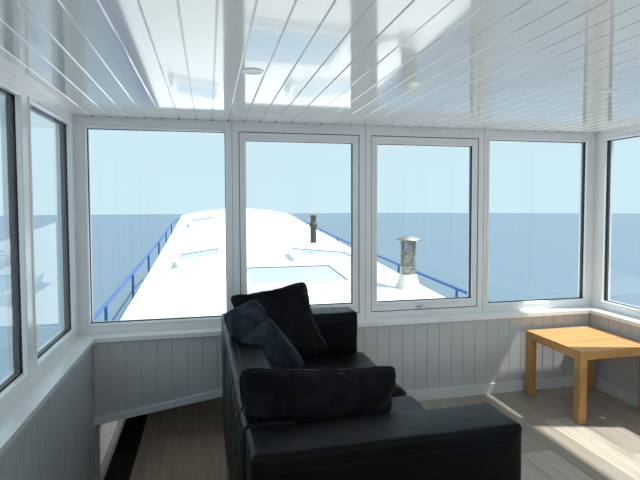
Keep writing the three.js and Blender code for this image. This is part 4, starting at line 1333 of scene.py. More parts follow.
@dataclass
class Lining:
    """The deckhouse's boarded lower walls, skirting, plank floor, stair treads and ceiling fittings."""

    finishes: Finishes
    inner: float = 1.7215
    front: float = -5.685
    aft: float = -9.575
    floor: float = FLOOR_TOP
    sill: float = 2.575
    pitch: float = 0.0904
    thick: float = 0.009
    groove: float = 0.0045
    stair_side: float = -0.945
    stair_aft: float = -7.5
    stair_port: float = -1.7012
    stair_foot: float = 1.3
    treads: int = 7
    rise: float = 0.23625
    going: float = 0.24
    lintel: tuple[float, float] = (2.083, 2.197)
    door_half: float = 0.4383
    skirting: float = 0.075
    plank: float = 0.192
    plank_length: float = 1.29
    downlights: tuple[tuple[float, float], tuple[float, float]] = ((-0.858, 0.801), (-6.798, -8.35))

    def boards(self, form: Form, face: Face, start: float, stop: float, bottom: Profile) -> None:
        """Lines a stretch of wall with upright boards that have chamfered edges.

        Args:
            form: The form that they go into.
            face: The wall's inner face.
            start: Where the stretch begins.
            stop: Where it ends.
            bottom: Pairs of place and height that the boards' lower ends follow.
        """
        def low(u: float) -> float:
            """Returns the height of the lower end there."""
            for (u0, z0), (u1, z1) in zip(bottom, bottom[1:]):
                if u <= u1:
                    return z0 + (z1 - z0) * (u - u0) / (u1 - u0)
            return bottom[-1][1]

        u = start
        while u < stop - 0.004:
            end = min(u + self.pitch, stop)
            section = [(u, 0.0), (u, self.thick - self.groove), (u + self.groove, self.thick)]
            section += [(end - self.groove, self.thick), (end, self.thick - self.groove), (end, 0.0)]
            rings = [
                form.points([face.at(p, low(p), w) for p, w in section]),
                form.points([face.at(p, self.sill - 0.0005, w) for p, w in section]),
            ]
            form.skin(rings)
            u = end

    def line_walls(self) -> None:
        """Boards the four lower walls and the sides of the stairwell."""
        faces = room_faces(self.front, self.aft, self.inner)
        edge = self.inner - self.thick
        lintel = [(-self.inner, self.lintel[0]), (self.stair_side, self.lintel[1])]
        form = Form()
        self.boards(form, faces["front"], -edge, self.stair_side, lintel)
        foot = [(self.stair_side, self.floor), (edge, self.floor)]
        self.boards(form, faces["front"], self.stair_side, edge, foot)
        form.piece("boards_front", self.finishes["grey_boards"], crease=20)
        stretches = {
            "port": [(self.aft, self.stair_aft, self.floor), (self.stair_aft, self.front, self.stair_foot)],
            "starboard": [(self.aft, self.front, self.floor)],
            "aft": [(-edge, -self.door_half, self.floor), (self.door_half, edge, self.floor)],
        }
        for name, rows in stretches.items():
            form = Form()
            for start, stop, foot in rows:
                self.boards(form, faces[name], start, stop, [(start, foot), (stop, foot)])
            form.piece(f"boards_{name}", self.finishes["grey_boards"], crease=20)

    def add_skirting(self) -> None:
        """Adds the skirting round the floor and the trim along the companionway's lintel."""
        depth = 0.015
        edge = self.inner - self.thick
        front, aft = self.front - self.thick, self.aft + self.thick
        form = Form()
        for x0, x1, y0, y1 in (
            (self.stair_side, edge, front - depth, front), (edge - depth, edge, aft, front),
            (-edge, -edge + depth, aft, self.stair_aft), (-edge, -self.door_half, aft, aft + depth),
            (self.door_half, edge, aft, aft + depth),
        ):
            form.block((x0, y0, self.floor), (x1, y1, self.floor + self.skirting))
        form.piece("skirting", self.finishes["grey_trim"], bevel=0.003)
        trim = Form()
        rings = []
        back, face, under, over = front + 0.002, front - 0.016, -0.004, 0.038
        for x, z in ((-edge, self.lintel[0]), (self.stair_side + 0.02, self.lintel[1] + 0.003)):
            corners = ((back, under), (face, under), (face, over), (back, over))
            rings.append(trim.points(Vector((x, y, z + lift)) for y, lift in corners))
        trim.skin(rings)
        trim.piece("lintel_trim", self.finishes["grey_trim"], bevel=0.002)

    def lay_planks(self) -> None:
        """Lays the floor in planks that run fore and aft, each with its own tone."""
        thick, sunk, joint, chamfer, sliver = 0.0012, 0.0005, 0.0006, 0.0009, 0.01
        first_shift, row_shift = 0.17, 0.37
        form = Form()
        edge = self.inner - 0.001
        row = 0
        x = -edge
        while x < edge - sliver:
            right = min(x + self.plank, edge)
            y = self.aft - self.plank_length * (first_shift + row_shift * row % 1.0)
            count = 0
            while y < self.front:
                stop = min(y + self.plank_length, self.front)
                start = max(y, self.aft)
                tone = 0.5 + 0.5 * math.sin(row * 12.9898 + count * 78.233)
                pieces = [(x, right, start, stop)]
                if x < self.stair_side:
                    limit = min(stop, self.stair_aft)
                    pieces = [(x, min(right, self.stair_side), start, limit)]
                    if right > self.stair_side + sliver:
                        pieces.append((self.stair_side, right, start, stop))
                for x0, x1, y0, y1 in pieces:
                    if y1 - y0 > 2 * sliver and x1 - x0 > sliver:
                        low = (x0 + joint, y0 + joint, self.floor - sunk)
                        high = (x1 - joint, y1 - joint, self.floor + thick)
                        form.block(low, high, 0.001 + tone, chamfer)
                y += self.plank_length
                count += 1
            x = right
            row += 1
        form.piece("floor_planks", self.finishes["floor_planks"], crease=20)
        dress(["deckhouse_floor"], self.finishes["black_rubber"])

    def tread_stair(self) -> None:
        """Adds the stair's treads with their nosings, in the floor's planks."""
        form = Form()
        nosing, thick, chamfer = 0.022, 0.02, 0.004
        for k in range(1, self.treads + 1):
            level = self.floor - self.rise * k
            y = self.stair_aft + self.going * (k - 1)
            high = (self.stair_side, y + self.going + nosing, level + thick)
            form.block((self.stair_port, y, level), high, 0.001 + 0.1 * k, chamfer)
        form.piece("stair_treads", self.finishes["floor_planks"], crease=20)
        dress(["companion_stair"], self.finishes["grey_trim"])
        dress(["saloon_sole"], self.finishes["floor_planks"])

    def fit_ceiling(self) -> None:
        """Adds the downlights, and small black caps at the ends of the ceiling's grooves, painted shade where
        the grooves meet the walls.
        """
        dress(["deckhouse_ceiling"], self.finishes["ceiling_planks"], 20)
        rings, lamps, ends = Form(), Form(), Form()
        ring = [(0.03, 0.0), (0.044, 0.0), (0.0435, 0.002), (0.041, 0.004), (0.033, 0.0035), (0.03, 0.0)]
        lamp = [(0.0, 0.0), (0.033, 0.0), (0.031, 0.0015), (0.0, 0.002)]
        for x in self.downlights[0]:
            for y in self.downlights[1]:
                rings.turned(ring, (x, y, CEILING), -UP)
                lamps.turned(lamp, (x, y, CEILING), -UP)
        # Black caps at the grooves' ends: painted shade in the grooves where they meet the walls.
        end, proud = [(0.0, 0.0), (0.0042, 0.0), (0.0036, 0.002), (0.0, 0.0024)], 0.0005
        x = CEILING_PITCH - WALL_FACE
        while x < WALL_FACE:
            for y, way in ((FRONT_WALL, -1), (AFT_WALL, 1)):
                ends.turned(end, (x, y + way * proud, CEILING - proud), BOW * way, 12)
            x += CEILING_PITCH
        rings.piece("downlight_rings", self.finishes["white_plastic"])
        lamps.piece("downlight_lamps", self.finishes["white_lamp"])
        ends.piece("groove_ends", self.finishes["black_rubber"])

    def build(self) -> None:
        """Builds the whole lining."""
        self.line_walls()
        self.add_skirting()
        self.lay_planks()
        self.tread_stair()
        self.fit_ceiling()


@dataclass(frozen=True)
class Fold:
    """A dent across a pillow, from one place on it to another."""

    start: tuple[float, float]
    end: tuple[float, float]
    depth: float
    width: float

    def depth_at(self, u: float, v: float) -> float:
        """Gives how far the dent goes in at a place.

        Args:
            u: The place across, from -1 to 1.
            v: The place up, from -1 to 1.

        Returns:
            The depth in metres.
        """
        (u0, v0), (u1, v1) = self.start, self.end
        along = Vector((u1 - u0, v1 - v0))
        share = max(0.0, min(1.0, (Vector((u - u0, v - v0)).dot(along)) / along.length_squared))
        off = (Vector((u0, v0)) + along * share - Vector((u, v))).length
        return self.depth * math.exp(-((off / self.width) ** 2))


@dataclass(frozen=True)
class Pillow:
    """A scatter cushion: its size, how it lies on the settee, and its folds."""

    name: str
    finish: str
    size: Point
    at: Point
    taper: float = 0.0
    lean: float = 0.0
    roll: float = 0.0
    folds: tuple[Fold, ...] = ()


@dataclass(frozen=True)
class Stuffing:
    """How a stuffed cover is blown up by cloth simulation, remeshed first if it has a voxel size."""

    voxel: float = 0.0
    cap: float = 0.02
    pressure: float = 4.0
    bend: float = 0.6
    frames: int = 20

    def swell(self, mesh: bpy.types.Mesh) -> bpy.types.Mesh:
        """Lets pressure fill a closed cover.

        Args:
            mesh: The cover, a little smaller than the piece is to be.
        """
        scene = bpy.context.scene
        cover = bpy.data.objects.new("cover", mesh)
        scene.collection.objects.link(cover)
        if self.voxel:
            remesh = cover.modifiers.new("remesh", "REMESH")
            remesh.mode = "VOXEL"
            remesh.voxel_size = self.voxel
            even = self.shown(cover)
            cover.modifiers.clear()
            cover.data = even
        start = [vertex.co.copy() for vertex in cover.data.vertices]
        cloth = cover.modifiers.new("cloth", "CLOTH")
        cloth.point_cache.frame_end = self.frames
        cloth.settings.use_pressure = True
        cloth.settings.uniform_pressure_force = self.pressure
        cloth.settings.bending_stiffness = self.bend
        cloth.settings.effector_weights.gravity = 0.0
        for frame_number in range(1, self.frames + 1):
            scene.frame_set(frame_number)
        swollen = self.shown(cover)
        scene.frame_set(1)
        bpy.data.objects.remove(cover)
        for vertex, before in zip(swollen.vertices, start):
            moved = vertex.co - before
            if moved.length > self.cap:
                vertex.co = before + moved.normalized() * self.cap
        return swollen

    @staticmethod
    def shown(cover: bpy.types.Object) -> bpy.types.Mesh:
        """Returns a new mesh of the cover as its modifiers leave it."""
        return bpy.data.meshes.new_from_object(cover.evaluated_get(bpy.context.evaluated_depsgraph_get()))


class Upholstery:
    """Helpers for padded forms: blocks, pillows, seams, and rest on what carries them."""

    @staticmethod
    def padded_block(low: Point, high: Point, radius: float, crown: float, cells: float, ripple: float,
                     place: Matrix) -> bpy.types.Mesh:
        """Makes a block with round edges, crowned faces and slight ripples.

        Args:
            low: Its lowest corner.
            high: Its highest corner.
            radius: The edges' radius.
            crown: How far the faces' middles stand out.
            cells: The size of its grid.
            ripple: How deep the ripples are.
            place: Moves it into the boat.

        Returns:
            The mesh.
        """
        bm = bmesh.new()
        size = Vector(high) - Vector(low)
        middle = (Vector(high) + Vector(low)) / 2
        half = [length / 2 - crown for length in size]
        stops = [Upholstery.stops(half[n], radius, cells) for n in range(3)]
        seen: dict[tuple[int, int, int], bmesh.types.BMVert] = {}

        def corner(key: tuple[int, int, int]) -> bmesh.types.BMVert:
            """Returns the point at that place of the grid, made on its first call."""
            if key not in seen:
                point = Vector([stops[n][key[n]] for n in range(3)])
                share = [point[n] / half[n] for n in range(3)]
                core = Vector([max(radius - half[n], min(half[n] - radius, point[n])) for n in range(3)])
                way = point - core
                if way.length > 1e-9:
                    point = core + way.normalized() * radius
                bulge = Vector([
                    crown * (abs(share[n]) > 0.999) * math.copysign(1.0, share[n])
                    * math.prod(1 - abs(share[m]) ** 2.5 for m in range(3) if m != n) for n in range(3)
                ])
                ripples = noise.noise_vector((point + middle) * 7.0) * ripple
                seen[key] = bm.verts.new(place @ (middle + point + bulge + ripples))
            return seen[key]

        for n in range(3):
            a, b = (n + 1) % 3, (n + 2) % 3
            for side in (0, len(stops[n]) - 1):
                for i in range(len(stops[a]) - 1):
                    for j in range(len(stops[b]) - 1):
                        loop = []
                        for di, dj in ((0, 0), (1, 0), (1, 1), (0, 1)):
                            key = [0, 0, 0]
                            key[n], key[a], key[b] = side, i + di, j + dj
                            loop.append(corner(tuple(key)))
                        bm.faces.new(loop)
        bmesh.ops.recalc_face_normals(bm, faces=bm.faces)
        mesh = bpy.data.meshes.new("padded")
        bm.to_mesh(mesh)
        bm.free()
        return mesh

    @staticmethod
    def stops(half: float, radius: float, cells: float) -> list[float]:
        """Gives grid lines across a block, closer together where its edges are round.

        Args:
            half: Half its size.
            radius: The edges' radius.
            cells: The spacing between the rounds.

        Returns:
            The lines' places, from one side to the other.
        """
        flat = half - radius
        count = max(2, round(2 * flat / cells))
        lines = [flat * (2 * k / count - 1) for k in range(count + 1)]
        edge = [flat + radius * math.tan(math.pi / 4 * k / 4) for k in range(1, 5)]
        return [-value for value in reversed(edge)] + lines + edge

    @staticmethod
    def outline(u: float, v: float, size: Point, taper: float) -> tuple[float, float]:
        """Gives a place on a pillow, rounded at its corners and pulled in between them.

        Args:
            u: The place across, from -1 to 1.
            v: The place up, from -1 to 1.
            size: The pillow's width, height and thickness.
            taper: How much narrower than its middle it is at the top.

        Returns:
            The place in metres.
        """
        corner = 1 - 0.07 * abs(u * v) ** 6
        across = u * (1 - 0.035 * (1 - v * v)) * corner * (1 - taper * v)
        up = v * (1 - 0.035 * (1 - u * u)) * corner
        return across * size[0] / 2, up * size[1] / 2

    @staticmethod
    def pillow(shape: Pillow, place: Matrix, cells: int) -> bpy.types.Mesh:
        """Makes a pillow, thin at its edge.

        Args:
            shape: Its sizes, and the folds in its near side.
            place: Moves it into the boat.
            cells: Cells along each side.

        Returns:
            The mesh.
        """
        bm = bmesh.new()
        grid: dict[tuple[int, int, int], bmesh.types.BMVert] = {}
        for side in (1, -1):
            for i in range(cells + 1):
                for j in range(cells + 1):
                    u, v = 2 * i / cells - 1, 2 * j / cells - 1
                    edge = i in (0, cells) or j in (0, cells)
                    if edge and side < 0:
                        grid[(side, i, j)] = grid[(1, i, j)]
                        continue
                    swell = ((1 - abs(u) ** 2.6) * (1 - abs(v) ** 2.6)) ** 0.45
                    z = 0.0 if edge else side * (shape.size[2] / 2 * swell + 0.003)
                    if side > 0 and not edge:
                        for fold in shape.folds:
                            z -= fold.depth_at(u, v) * swell
                    grid[(side, i, j)] = bm.verts.new((*Upholstery.outline(u, v, shape.size, shape.taper), z))
            for i in range(cells):
                for j in range(cells):
                    square = ((i, j), (i + 1, j), (i + 1, j + 1), (i, j + 1))
                    bm.faces.new([grid[(side, *corner)] for corner in square])
        bm.transform(place)
        bmesh.ops.recalc_face_normals(bm, faces=bm.faces)
        mesh = bpy.data.meshes.new("pillow")
        bm.to_mesh(mesh)
        bm.free()
        return mesh

    @staticmethod
    def settle(mesh: bpy.types.Mesh, under: Sequence[BVHTree], gap: float = 0.0008) -> None:
        """Presses a mesh out of the pieces that it rests on.

        Args:
            mesh: The mesh.
            under: What it rests on.
            gap: How far it stays off them.
        """
        for vertex in mesh.vertices:
            for tree in under:
                point, normal, _, distance = tree.find_nearest(vertex.co, 0.15)
                if point is not None and (distance < gap or (vertex.co - point).dot(normal) < 0):
                    vertex.co = point + normal * gap

    @staticmethod
    def tree(mesh: bpy.types.Mesh) -> BVHTree:
        """Returns a search tree of a mesh's faces."""
        points = [vertex.co.copy() for vertex in mesh.vertices]
        return BVHTree.FromPolygons(points, [tuple(face.vertices) for face in mesh.polygons])

    @staticmethod
    def sewn(form: Form, tree: BVHTree, path: Sequence[Vector], radius: float, closed: bool = False) -> None:
        """Adds a seam that lies on a padded surface.

        Args:
            form: The form that it goes into.
            tree: The surface.
            path: Points near it.
            radius: The seam's radius.
            closed: Whether it is a loop.
        """
        lying = []
        for point in path:
            where, normal, _, _ = tree.find_nearest(point)
            lying.append(where + normal * radius * 0.15)
        form.tube(lying, radius, 8, closed)


@dataclass
class Settee:
    """The leather settee: padded frame, two seat cushions and three scatter cushions."""

    finishes: Finishes
    corner: Point = (-0.945, -7.552, 2.04)
    turn: float = 0.018
    depth: float = 0.82
    length: float = 1.775
    height: float = 0.7
    arm: float = 0.195
    back: float = 0.17
    seat: float = 0.3
    seat_top: float = 0.465
    nose: float = 0.045
    foot: float = 0.06
    roll: float = 0.055
    grid: float = 0.013
    cells: int = 48
    cushions: tuple[Pillow, ...] = (
        Pillow("far", "charcoal_velvet", (0.47, 0.48, 0.085), (0.296, 1.38, 0.7), lean=-0.68, roll=-0.17),
        Pillow("middle", "blue_velvet", (0.25, 0.44, 0.21), (0.167, 1.175, 0.662), 0.24, -0.62, -0.42, (
            Fold((-1.0, 0.15), (1.0, 0.4), 0.04, 0.13), Fold((-1.0, -0.3), (0.0, -0.5), 0.012, 0.1),
        )),
        Pillow("near", "charcoal_velvet", (0.56, 0.33, 0.15), (0.264, 0.325, 0.65), roll=0.065, folds=(
            Fold((1.0, 0.45), (0.72, 0.2), 0.015, 0.08), Fold((1.0, -0.1), (0.75, -0.05), 0.012, 0.06),
            Fold((-1.0, 0.6), (-0.6, 0.2), 0.01, 0.1),
        )),
    )

    def place(self) -> Matrix:
        """Returns the matrix from the settee's own frame into the boat."""
        return Matrix.Translation(self.corner) @ Matrix.Rotation(self.turn, 4, "Z")

    def blown(self, low: Point, high: Point, radius: float, inset: float) -> bpy.types.Mesh:
        """Makes a stuffed block by swelling a slightly smaller one, flat on its underside.

        Args:
            low: Its lowest corner.
            high: Its highest corner.
            radius: The edges' radius.
            inset: How much smaller it starts on every side.

        Returns:
            The mesh.
        """
        crown = ripple = 0.002
        less = Vector((inset,) * 3)
        low_in, high_in = Vector(low) + less, Vector(high) - less
        cover = Upholstery.padded_block(low_in, high_in, radius, crown, self.grid, ripple, self.place())
        mesh = Stuffing(cap=inset + 0.004).swell(cover)
        floor = self.corner[2] + low[2]
        for vertex in mesh.vertices:
            vertex.co.z = max(vertex.co.z, floor)
        return mesh

    def build_frame(self) -> BVHTree:
        """Builds the padded arms, back and base, with their feet and seams.

        Returns:
            The padding's surface.
        """
        top, foot, far = self.height, self.foot, self.length - self.arm
        base = ((0.05, self.arm * 0.7, foot), (self.depth - 0.03, self.length - self.arm * 0.7, self.seat))
        blocks = (
            ((0.0, 0.0, foot), (self.depth, self.arm, top)),
            ((0.0, far, foot), (self.depth, self.length, top)),
            ((0.0, self.arm - 0.012, foot), (self.back, far + 0.012, top - 0.003)),
        )
        joined = bmesh.new()
        joined.from_mesh(Upholstery.padded_block(*base, 0.016, 0.003, 0.02, 0.002, self.place()))
        for low, high in blocks:
            joined.from_mesh(self.blown(low, high, 0.017, 0.002))
        mesh = bpy.data.meshes.new("settee_padding")
        joined.to_mesh(mesh)
        joined.free()
        padding = finished(mesh, "settee_padding", self.finishes["black_leather"], crease=70)
        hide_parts("settee_frame")
        tree = Upholstery.tree(mesh)
        self.sew_frame(tree)
        feet = Form(self.place())
        profile = [(0.0, 0.0), (0.02, 0.0), (0.027, foot + 0.01), (0.0, foot + 0.01)]
        for x in (0.09, self.depth - 0.06):
            for y in (0.06, self.length - 0.06):
                feet.turned(profile, Vector((x, y, 0.0015)), sides=24)
        feet.piece("settee_feet", self.finishes["black_rubber"])
        return tree

    def sew_frame(self, tree: BVHTree) -> None:
        """Adds the seams of the arms and the back.

        Args:
            tree: The padding's surface.
        """
        low, top, edge = self.foot + 0.03, self.height, 0.02
        shoulder = top - self.roll
        inner = self.arm + 0.01
        lines = []
        for y0 in (0.0, self.length - self.arm):
            for y in (y0, y0 + self.arm):
                lines.append(((edge, y, shoulder), (self.depth - edge, y, shoulder)))
            for y in (y0 + edge, y0 + self.arm - edge):
                lines.append(((self.depth, y, low), (self.depth, y, top - edge)))
            lines.append(((self.depth, y0 + edge, shoulder), (self.depth, y0 + self.arm - edge, shoulder)))
        for x, z in ((0.0, shoulder), (self.back, shoulder), (0.05, top), (self.back - 0.04, top)):
            lines.append(((x, inner, z), (x, self.length - inner, z)))
        for y in (self.length * 0.37, self.length * 0.63):
            lines.append(((0.0, y, low), (0.0, y, top - edge)))
        seams = Form()
        for first, second in lines:
            count = max(2, round((Vector(second) - Vector(first)).length / 0.015))
            path = [self.place() @ Vector(first).lerp(Vector(second), k / count) for k in range(count + 1)]
            Upholstery.sewn(seams, tree, path, 0.0018)
        seams.piece("settee_seams", self.finishes["black_leather"], crease=60)

    def build_seats(self) -> list[BVHTree]:
        """Builds the two seat cushions with their piping.

        Returns:
            Their surfaces.
        """
        each = (self.length - 2 * self.arm) / 2
        trees = []
        piping = Form()
        for k in range(2):
            y0 = self.arm + k * each
            low = (self.back + 0.002, y0 + 0.002, self.seat + 0.0005)
            high = (self.depth + self.nose, y0 + each - 0.002, self.seat_top + 0.004)
            mesh = self.blown(low, high, 0.036, 0.008)
            leather = self.finishes["black_leather"]
            cushion = finished(mesh, f"seat_cushion_{k + 1}_leather", leather, crease=70)
            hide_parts(f"seat_cushion_{k + 1}")
            tree = Upholstery.tree(mesh)
            trees.append(tree)
            middle = ((low[0] + high[0]) / 2, y0 + each / 2)
            outline = rounded(*middle, high[0] - low[0], each - 0.004, 0.04, 5)
            for z in (self.seat + 0.028, self.seat_top - 0.022):
                path = []
                for (first, _), (second, _) in zip(outline, outline[1:] + outline[:1]):
                    count = max(1, round((second - first).length / 0.02))
                    points = [first.lerp(second, n / count) for n in range(count)]
                    path += [self.place() @ Vector((*point, z)) for point in points]
                Upholstery.sewn(piping, tree, path, 0.0026, closed=True)
        piping.piece("seat_piping", self.finishes["black_leather"], crease=60)
        return trees

    def build_scatter(self, under: list[BVHTree]) -> None:
        """Builds the three scatter cushions, each resting on what lies under and behind it.

        Args:
            under: The surfaces of the settee.
        """
        stuffing = Stuffing(voxel=0.006, cap=0.028, bend=0.3)
        upright = Matrix.Rotation(math.pi / 2, 4, "X")
        for pillow in self.cushions:
            turn = Matrix.Rotation(pillow.lean, 4, "X") @ Matrix.Rotation(pillow.roll, 4, "Y") @ upright
            place = self.place() @ Matrix.Translation(pillow.at) @ turn
            cover = Upholstery.pillow(pillow, place, self.cells)
            rim = [place @ point for point in self.pillow_edge(pillow)]
            mesh = stuffing.swell(cover)
            Upholstery.settle(mesh, under)
            finish = self.finishes[pillow.finish]
            cushion = finished(mesh, f"scatter_{pillow.name}_cushion", finish, crease=180)
            subdivision = cushion.modifiers.new("subdivision", "SUBSURF")
            subdivision.levels = subdivision.render_levels = 1
            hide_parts(f"scatter_cushion_{pillow.name}")
            tree = Upholstery.tree(mesh)
            seam = Form()
            Upholstery.sewn(seam, tree, rim, 0.0028, closed=True)
            seam.piece(f"scatter_{pillow.name}_seam", finish, crease=60)
            under = under + [tree]

    def pillow_edge(self, pillow: Pillow) -> list[Vector]:
        """Gives the points round a pillow's edge, in its own frame.

        Args:
            pillow: The pillow.

        Returns:
            The points.
        """
        steps = [2 * k / self.cells - 1 for k in range(self.cells)]
        back = [1 - 2 * k / self.cells for k in range(self.cells)]
        places = [(u, -1.0) for u in steps] + [(1.0, v) for v in steps]
        places += [(u, 1.0) for u in back] + [(-1.0, v) for v in back]
        return [Vector((*Upholstery.outline(u, v, pillow.size, pillow.taper), 0.0)) for u, v in places]

    def build(self) -> None:
        """Builds the whole settee."""
        surfaces = [self.build_frame()]
        surfaces += self.build_seats()
        self.build_scatter(surfaces)


@dataclass
class OakTable:
    """The square oak table with its top of boards, aprons and four legs."""

    finishes: Finishes
    middle: tuple[float, float] = (1.407, -6.004)
    size: float = 0.53
    height: float = 0.45
    top: float = 0.02
    leg: float = 0.052
    apron: float = 0.036
    rail: float = 0.02
    rail_inset: float = 0.012
    boards: int = 4
    floor: float = FLOOR_TOP

    def build(self) -> None:
        """Builds the top, the legs and the aprons, each with its own grain."""
        x, y = self.middle
        half = self.size / 2
        under = self.floor + self.height - self.top
        top = Form()
        joint, chamfer = 0.0002, 0.0008
        for k in range(self.boards):
            low = y - half + k * self.size / self.boards
            high = low + self.size / self.boards - joint
            top.block((x - half, low + joint, under), (x + half, high, under + self.top), 0.0, chamfer)
        board = top.piece("table_top", self.finishes["oak_x"], slot="oak")
        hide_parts("oak_table")
        legs = Form()
        reach, thick, clear = half - self.leg / 2, self.leg / 2, 0.0013
        for sx in (-1, 1):
            for sy in (-1, 1):
                cx, cy = x + sx * reach, y + sy * reach
                legs.block((cx - thick, cy - thick, self.floor + clear), (cx + thick, cy + thick, under))
        legs.piece("table_legs", self.finishes["oak_z"], bevel=0.003)
        inner, line, thin = half - self.leg, half - self.rail_inset, self.rail / 2
        across, along = Form(), Form()
        for side in (-1, 1):
            middle = y + side * line
            across.block((x - inner, middle - thin, under - self.apron), (x + inner, middle + thin, under))
            middle = x + side * line
            along.block((middle - thin, y - inner, under - self.apron), (middle + thin, y + inner, under))
        across.piece("table_rails_across", self.finishes["oak_x"], bevel=0.002)
        along.piece("table_rails_along", self.finishes["oak_y"], bevel=0.002)


@dataclass
class CabinTop:
    """The cambered cabin roof with its rooflights, flue, cowl and cabin windows."""

    finishes: Finishes
    overhang: float = 0.012
    rim: float = 0.06
    flue: tuple[float, float] = (0.958, 0.653)
    cowl: tuple[float, float] = (1.479, -2.82)
    wires: int = 18
    wire_turns: float = 0.55
    wire_span: tuple[float, float] = (0.318, 0.648)
    wire_ring: float = 0.0935
    window: tuple[float, float, float] = (0.9, 0.34, 0.07)
    wall: float = 1.95
    front: float = 9.64
    lights: dict[str, tuple[float, float, float, float]] = field(default_factory=lambda: {
        "main": (0.0, -2.69, 1.24, 1.12), "starboard": (0.77, -0.86, 1.04, 0.7),
        "port": (-1.18, -0.37, 0.72, 0.7), "port_forward": (-1.2, 5.7, 0.72, 0.9),
    })
    pins: dict[str, tuple[Point, Point]] = field(default_factory=lambda: {
        "starboard": ((0.77786, -0.50235, 2.57105), (-0.9954, 0.0, 0.095807)),
        "port": ((-1.19199, -0.01238, 2.55106), (-0.989296, 0.0, -0.145921)),
        "port_forward": ((-1.21367, 6.15668, 2.96199), (-0.988936, 0.0, -0.14834)),
    })

    def roof_face(self, x: float, y: float) -> Face:
        """Gives the roof's own axes at a point.

        Args:
            x: Its place across.
            y: Its place along.

        Returns:
            The face that touches the roof there.
        """
        step = 0.001
        across = Vector((step, 0, roof_top(x + step / 2, y) - roof_top(x - step / 2, y))).normalized()
        along = Vector((0, step, roof_top(x, y + step / 2) - roof_top(x, y - step / 2))).normalized()
        out = across.cross(along).normalized()
        return Face(Vector((x, y, roof_top(x, y))), across, out.cross(across), out)

    def fit_rooflights(self) -> None:
        """Finishes the rooflights and adds their seals and hinges."""
        for name, (x, y, width, length) in self.lights.items():
            node = f"rooflight_{name}"
            dress([f"{node}_frame"], self.finishes["white_paint"])
            # The panes' pale blue is a painted reflection of the sky.
            dress([f"{node}_glass"], self.finishes["rooflight_glass"])
            face = self.roof_face(x, y)
            body = BOAT if name == "main" else f"lid_{name}_body"
            half_u, half_v = width / 2 + self.overhang - self.rim, length / 2 + self.overhang - self.rim
            seal = Form()
            seal.rim(face, rectangle(-half_u, half_u, -half_v, half_v), (
                (-0.007, 0.09), (-0.007, 0.094), (0.0, 0.0965), (0.0, 0.09),
            ))
            seal.piece(f"rooflight_{name}_seal", self.finishes["black_rubber"], body)
            if name in self.pins:
                pin, axis = (Vector(value) for value in self.pins[name])
                barrels = Form()
                for side in (-1, 1):
                    middle = pin + axis * side * (width / 2 - 0.14)
                    barrels.tube([middle - axis * 0.035, middle + axis * 0.035], 0.009, 16)
                barrels.piece(f"rooflight_{name}_hinges", self.finishes["bright_steel"], crease=40)

    def fit_flue(self) -> None:
        """Builds the stove flue: flashing, pipe, collar and cap."""
        rounds = {
            "flue_flashing": ("flashing", [
                (0.0, -0.03), (0.144, -0.03), (0.143, 0.02), (0.13, 0.032), (0.1, 0.055), (0.068, 0.074),
                (0.0, 0.075),
            ]),
            "flue_pipe": ("flue_paint", [
                (0.0, 0.07), (0.0605, 0.07), (0.06, 0.376), (0.07, 0.38), (0.0765, 0.392), (0.0765, 0.444),
                (0.07, 0.452), (0.056, 0.466), (0.053, 0.57), (0.064, 0.582), (0.066, 0.604), (0.02, 0.621),
                (0.0, 0.622),
            ]),
        }
        self.turn_rounds(self.flue, rounds)
        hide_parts("stove_flue")

    def turn_rounds(self, place: tuple[float, float], rounds: dict[str, tuple[str, Profile]]) -> None:
        """Turns pieces that stand on the roof round one upright axis.

        Args:
            place: Where the axis stands, across and along.
            rounds: The finish and the profile of each piece, by its name.
        """
        for name, (finish, profile) in rounds.items():
            piece = Form().turned(profile, (*place, roof_top(*place)), sides=56)
            piece.piece(name, self.finishes[finish], crease=50)

    def fit_cowl(self) -> None:
        """Builds the vent cowl: flashing cone, meshed drum over a dark core, and cap."""
        x, y = self.cowl
        self.turn_rounds(self.cowl, {
            "cowl_cone": ("flashing", [
                (0.0, -0.04), (0.176, -0.04), (0.176, 0.01), (0.166, 0.022), (0.138, 0.11), (0.116, 0.185),
                (0.103, 0.21), (0.0, 0.212),
            ]),
            "cowl_drum": ("galvanised", [
                (0.0, 0.205), (0.0975, 0.205), (0.0985, 0.25), (0.0965, 0.3), (0.101, 0.304), (0.101, 0.316),
                (0.088, 0.32), (0.088, 0.64), (0.0, 0.641),
            ]),
        })
        lattice = Form()
        low, high = self.wire_span
        base, steps = roof_top(x, y), 18
        for k in range(self.wires):
            for way in (-1, 1):
                path = []
                for step in range(steps + 1):
                    share = step / steps
                    turn = 2 * math.pi * (k / self.wires + way * self.wire_turns * share)
                    spoke = (self.wire_ring * math.cos(turn), self.wire_ring * math.sin(turn))
                    path.append(Vector((x + spoke[0], y + spoke[1], base + low + (high - low) * share)))
                lattice.tube(path, 0.0038, 6)
        lattice.piece("cowl_mesh", self.finishes["galvanised"], crease=60)
        self.turn_rounds(self.cowl, {"cowl_cap": ("galvanised", [
            (0.0, 0.64), (0.155, 0.644), (0.1615, 0.652), (0.158, 0.66), (0.09, 0.688), (0.02, 0.709),
            (0.0, 0.71),
        ])})
        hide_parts("vent_cowl")

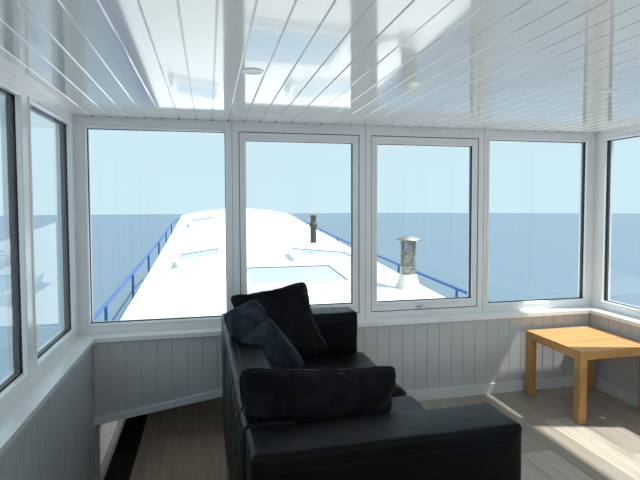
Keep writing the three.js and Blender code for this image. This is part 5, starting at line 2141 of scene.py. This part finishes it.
    def fit_windows(self) -> None:
        """Fits a rim and a pane to each cabin window."""
        rims, panes = Form(), Form()
        rim = (
            (-0.012, 0.0), (-0.012, 0.014), (-0.004, 0.018), (0.03, 0.018), (0.036, 0.012), (0.036, -0.001),
        )
        first, pitch, count = -4.3, 2.15, 7
        above_deck, front_above, front_off = 0.4, 0.48, 0.9
        faces = []
        for side in (-1, 1):
            for k in range(count):
                y = first + pitch * k
                origin = Vector((side * self.wall, y, deck_height(y) + above_deck))
                faces.append(Face(origin, BOW, UP, STARBOARD * side))
            origin = Vector((side * front_off, self.front, deck_height(self.front) + front_above))
            faces.append(Face(origin, STARBOARD, UP, BOW))
        outline = rounded(0.0, 0.0, *self.window)
        for face in faces:
            rims.rim(face, outline, rim)
            panes.plate(face, outline, 0.001, -0.03, -0.022)
        rims.piece("cabin_window_rims", self.finishes["window_rim"], crease=40)
        # The panes' near-black is painted shade of the cabin behind them.
        panes.piece("cabin_window_panes", self.finishes["cabin_glass"])

    def build(self) -> None:
        """Builds everything on and round the cabin."""
        dress(["cabin_roof", "cabin_walls"], self.finishes["white_paint"], 25)
        self.fit_rooflights()
        self.fit_flue()
        self.fit_cowl()
        self.fit_windows()


@dataclass
class HullAndDeck:
    """The hull, decks, rails and running gear."""

    finishes: Finishes

    def build(self) -> None:
        """Finishes the model's own pieces."""
        bitts = [f"bitts_{end}_{side}" for end in ("stern", "bow") for side in ("port", "starboard")]
        walls = [f"lower_wall_{side}" for side in ("front", "port", "starboard", "aft")]
        rounds = {
            "hull_paint": ["hull", "windlass", *bitts],
            "rudder_paint": ["rudder"],
            "blue_paint": ["rubbing_strake", "rail_port", "rail_starboard"],
            "deck_paint": ["deck", "aft_steps"],
            "white_paint": [*walls, "deckhouse_roof"],
            "bronze": ["propeller"],
            "engine_iron": ["engine"],
        }
        for finish, names in rounds.items():
            dress(names, self.finishes[finish], 40)


def main() -> None:
    """Builds the boat's looks in order and reports each part."""
    logging.basicConfig(level=logging.INFO, format="%(name)s: %(message)s")
    Studio().build()
    finishes = Finishes()
    parts = [
        HullAndDeck(finishes), CabinTop(finishes), Glazing(finishes), Lining(finishes), Settee(finishes),
        OakTable(finishes),
    ]
    for part in parts:
        part.build()
        LOG.info("%s built", type(part).__name__)
    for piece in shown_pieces():
        LOG.info("piece %s: %d faces", piece.name, len(piece.data.polygons))


if __name__ == "__main__":
    main()
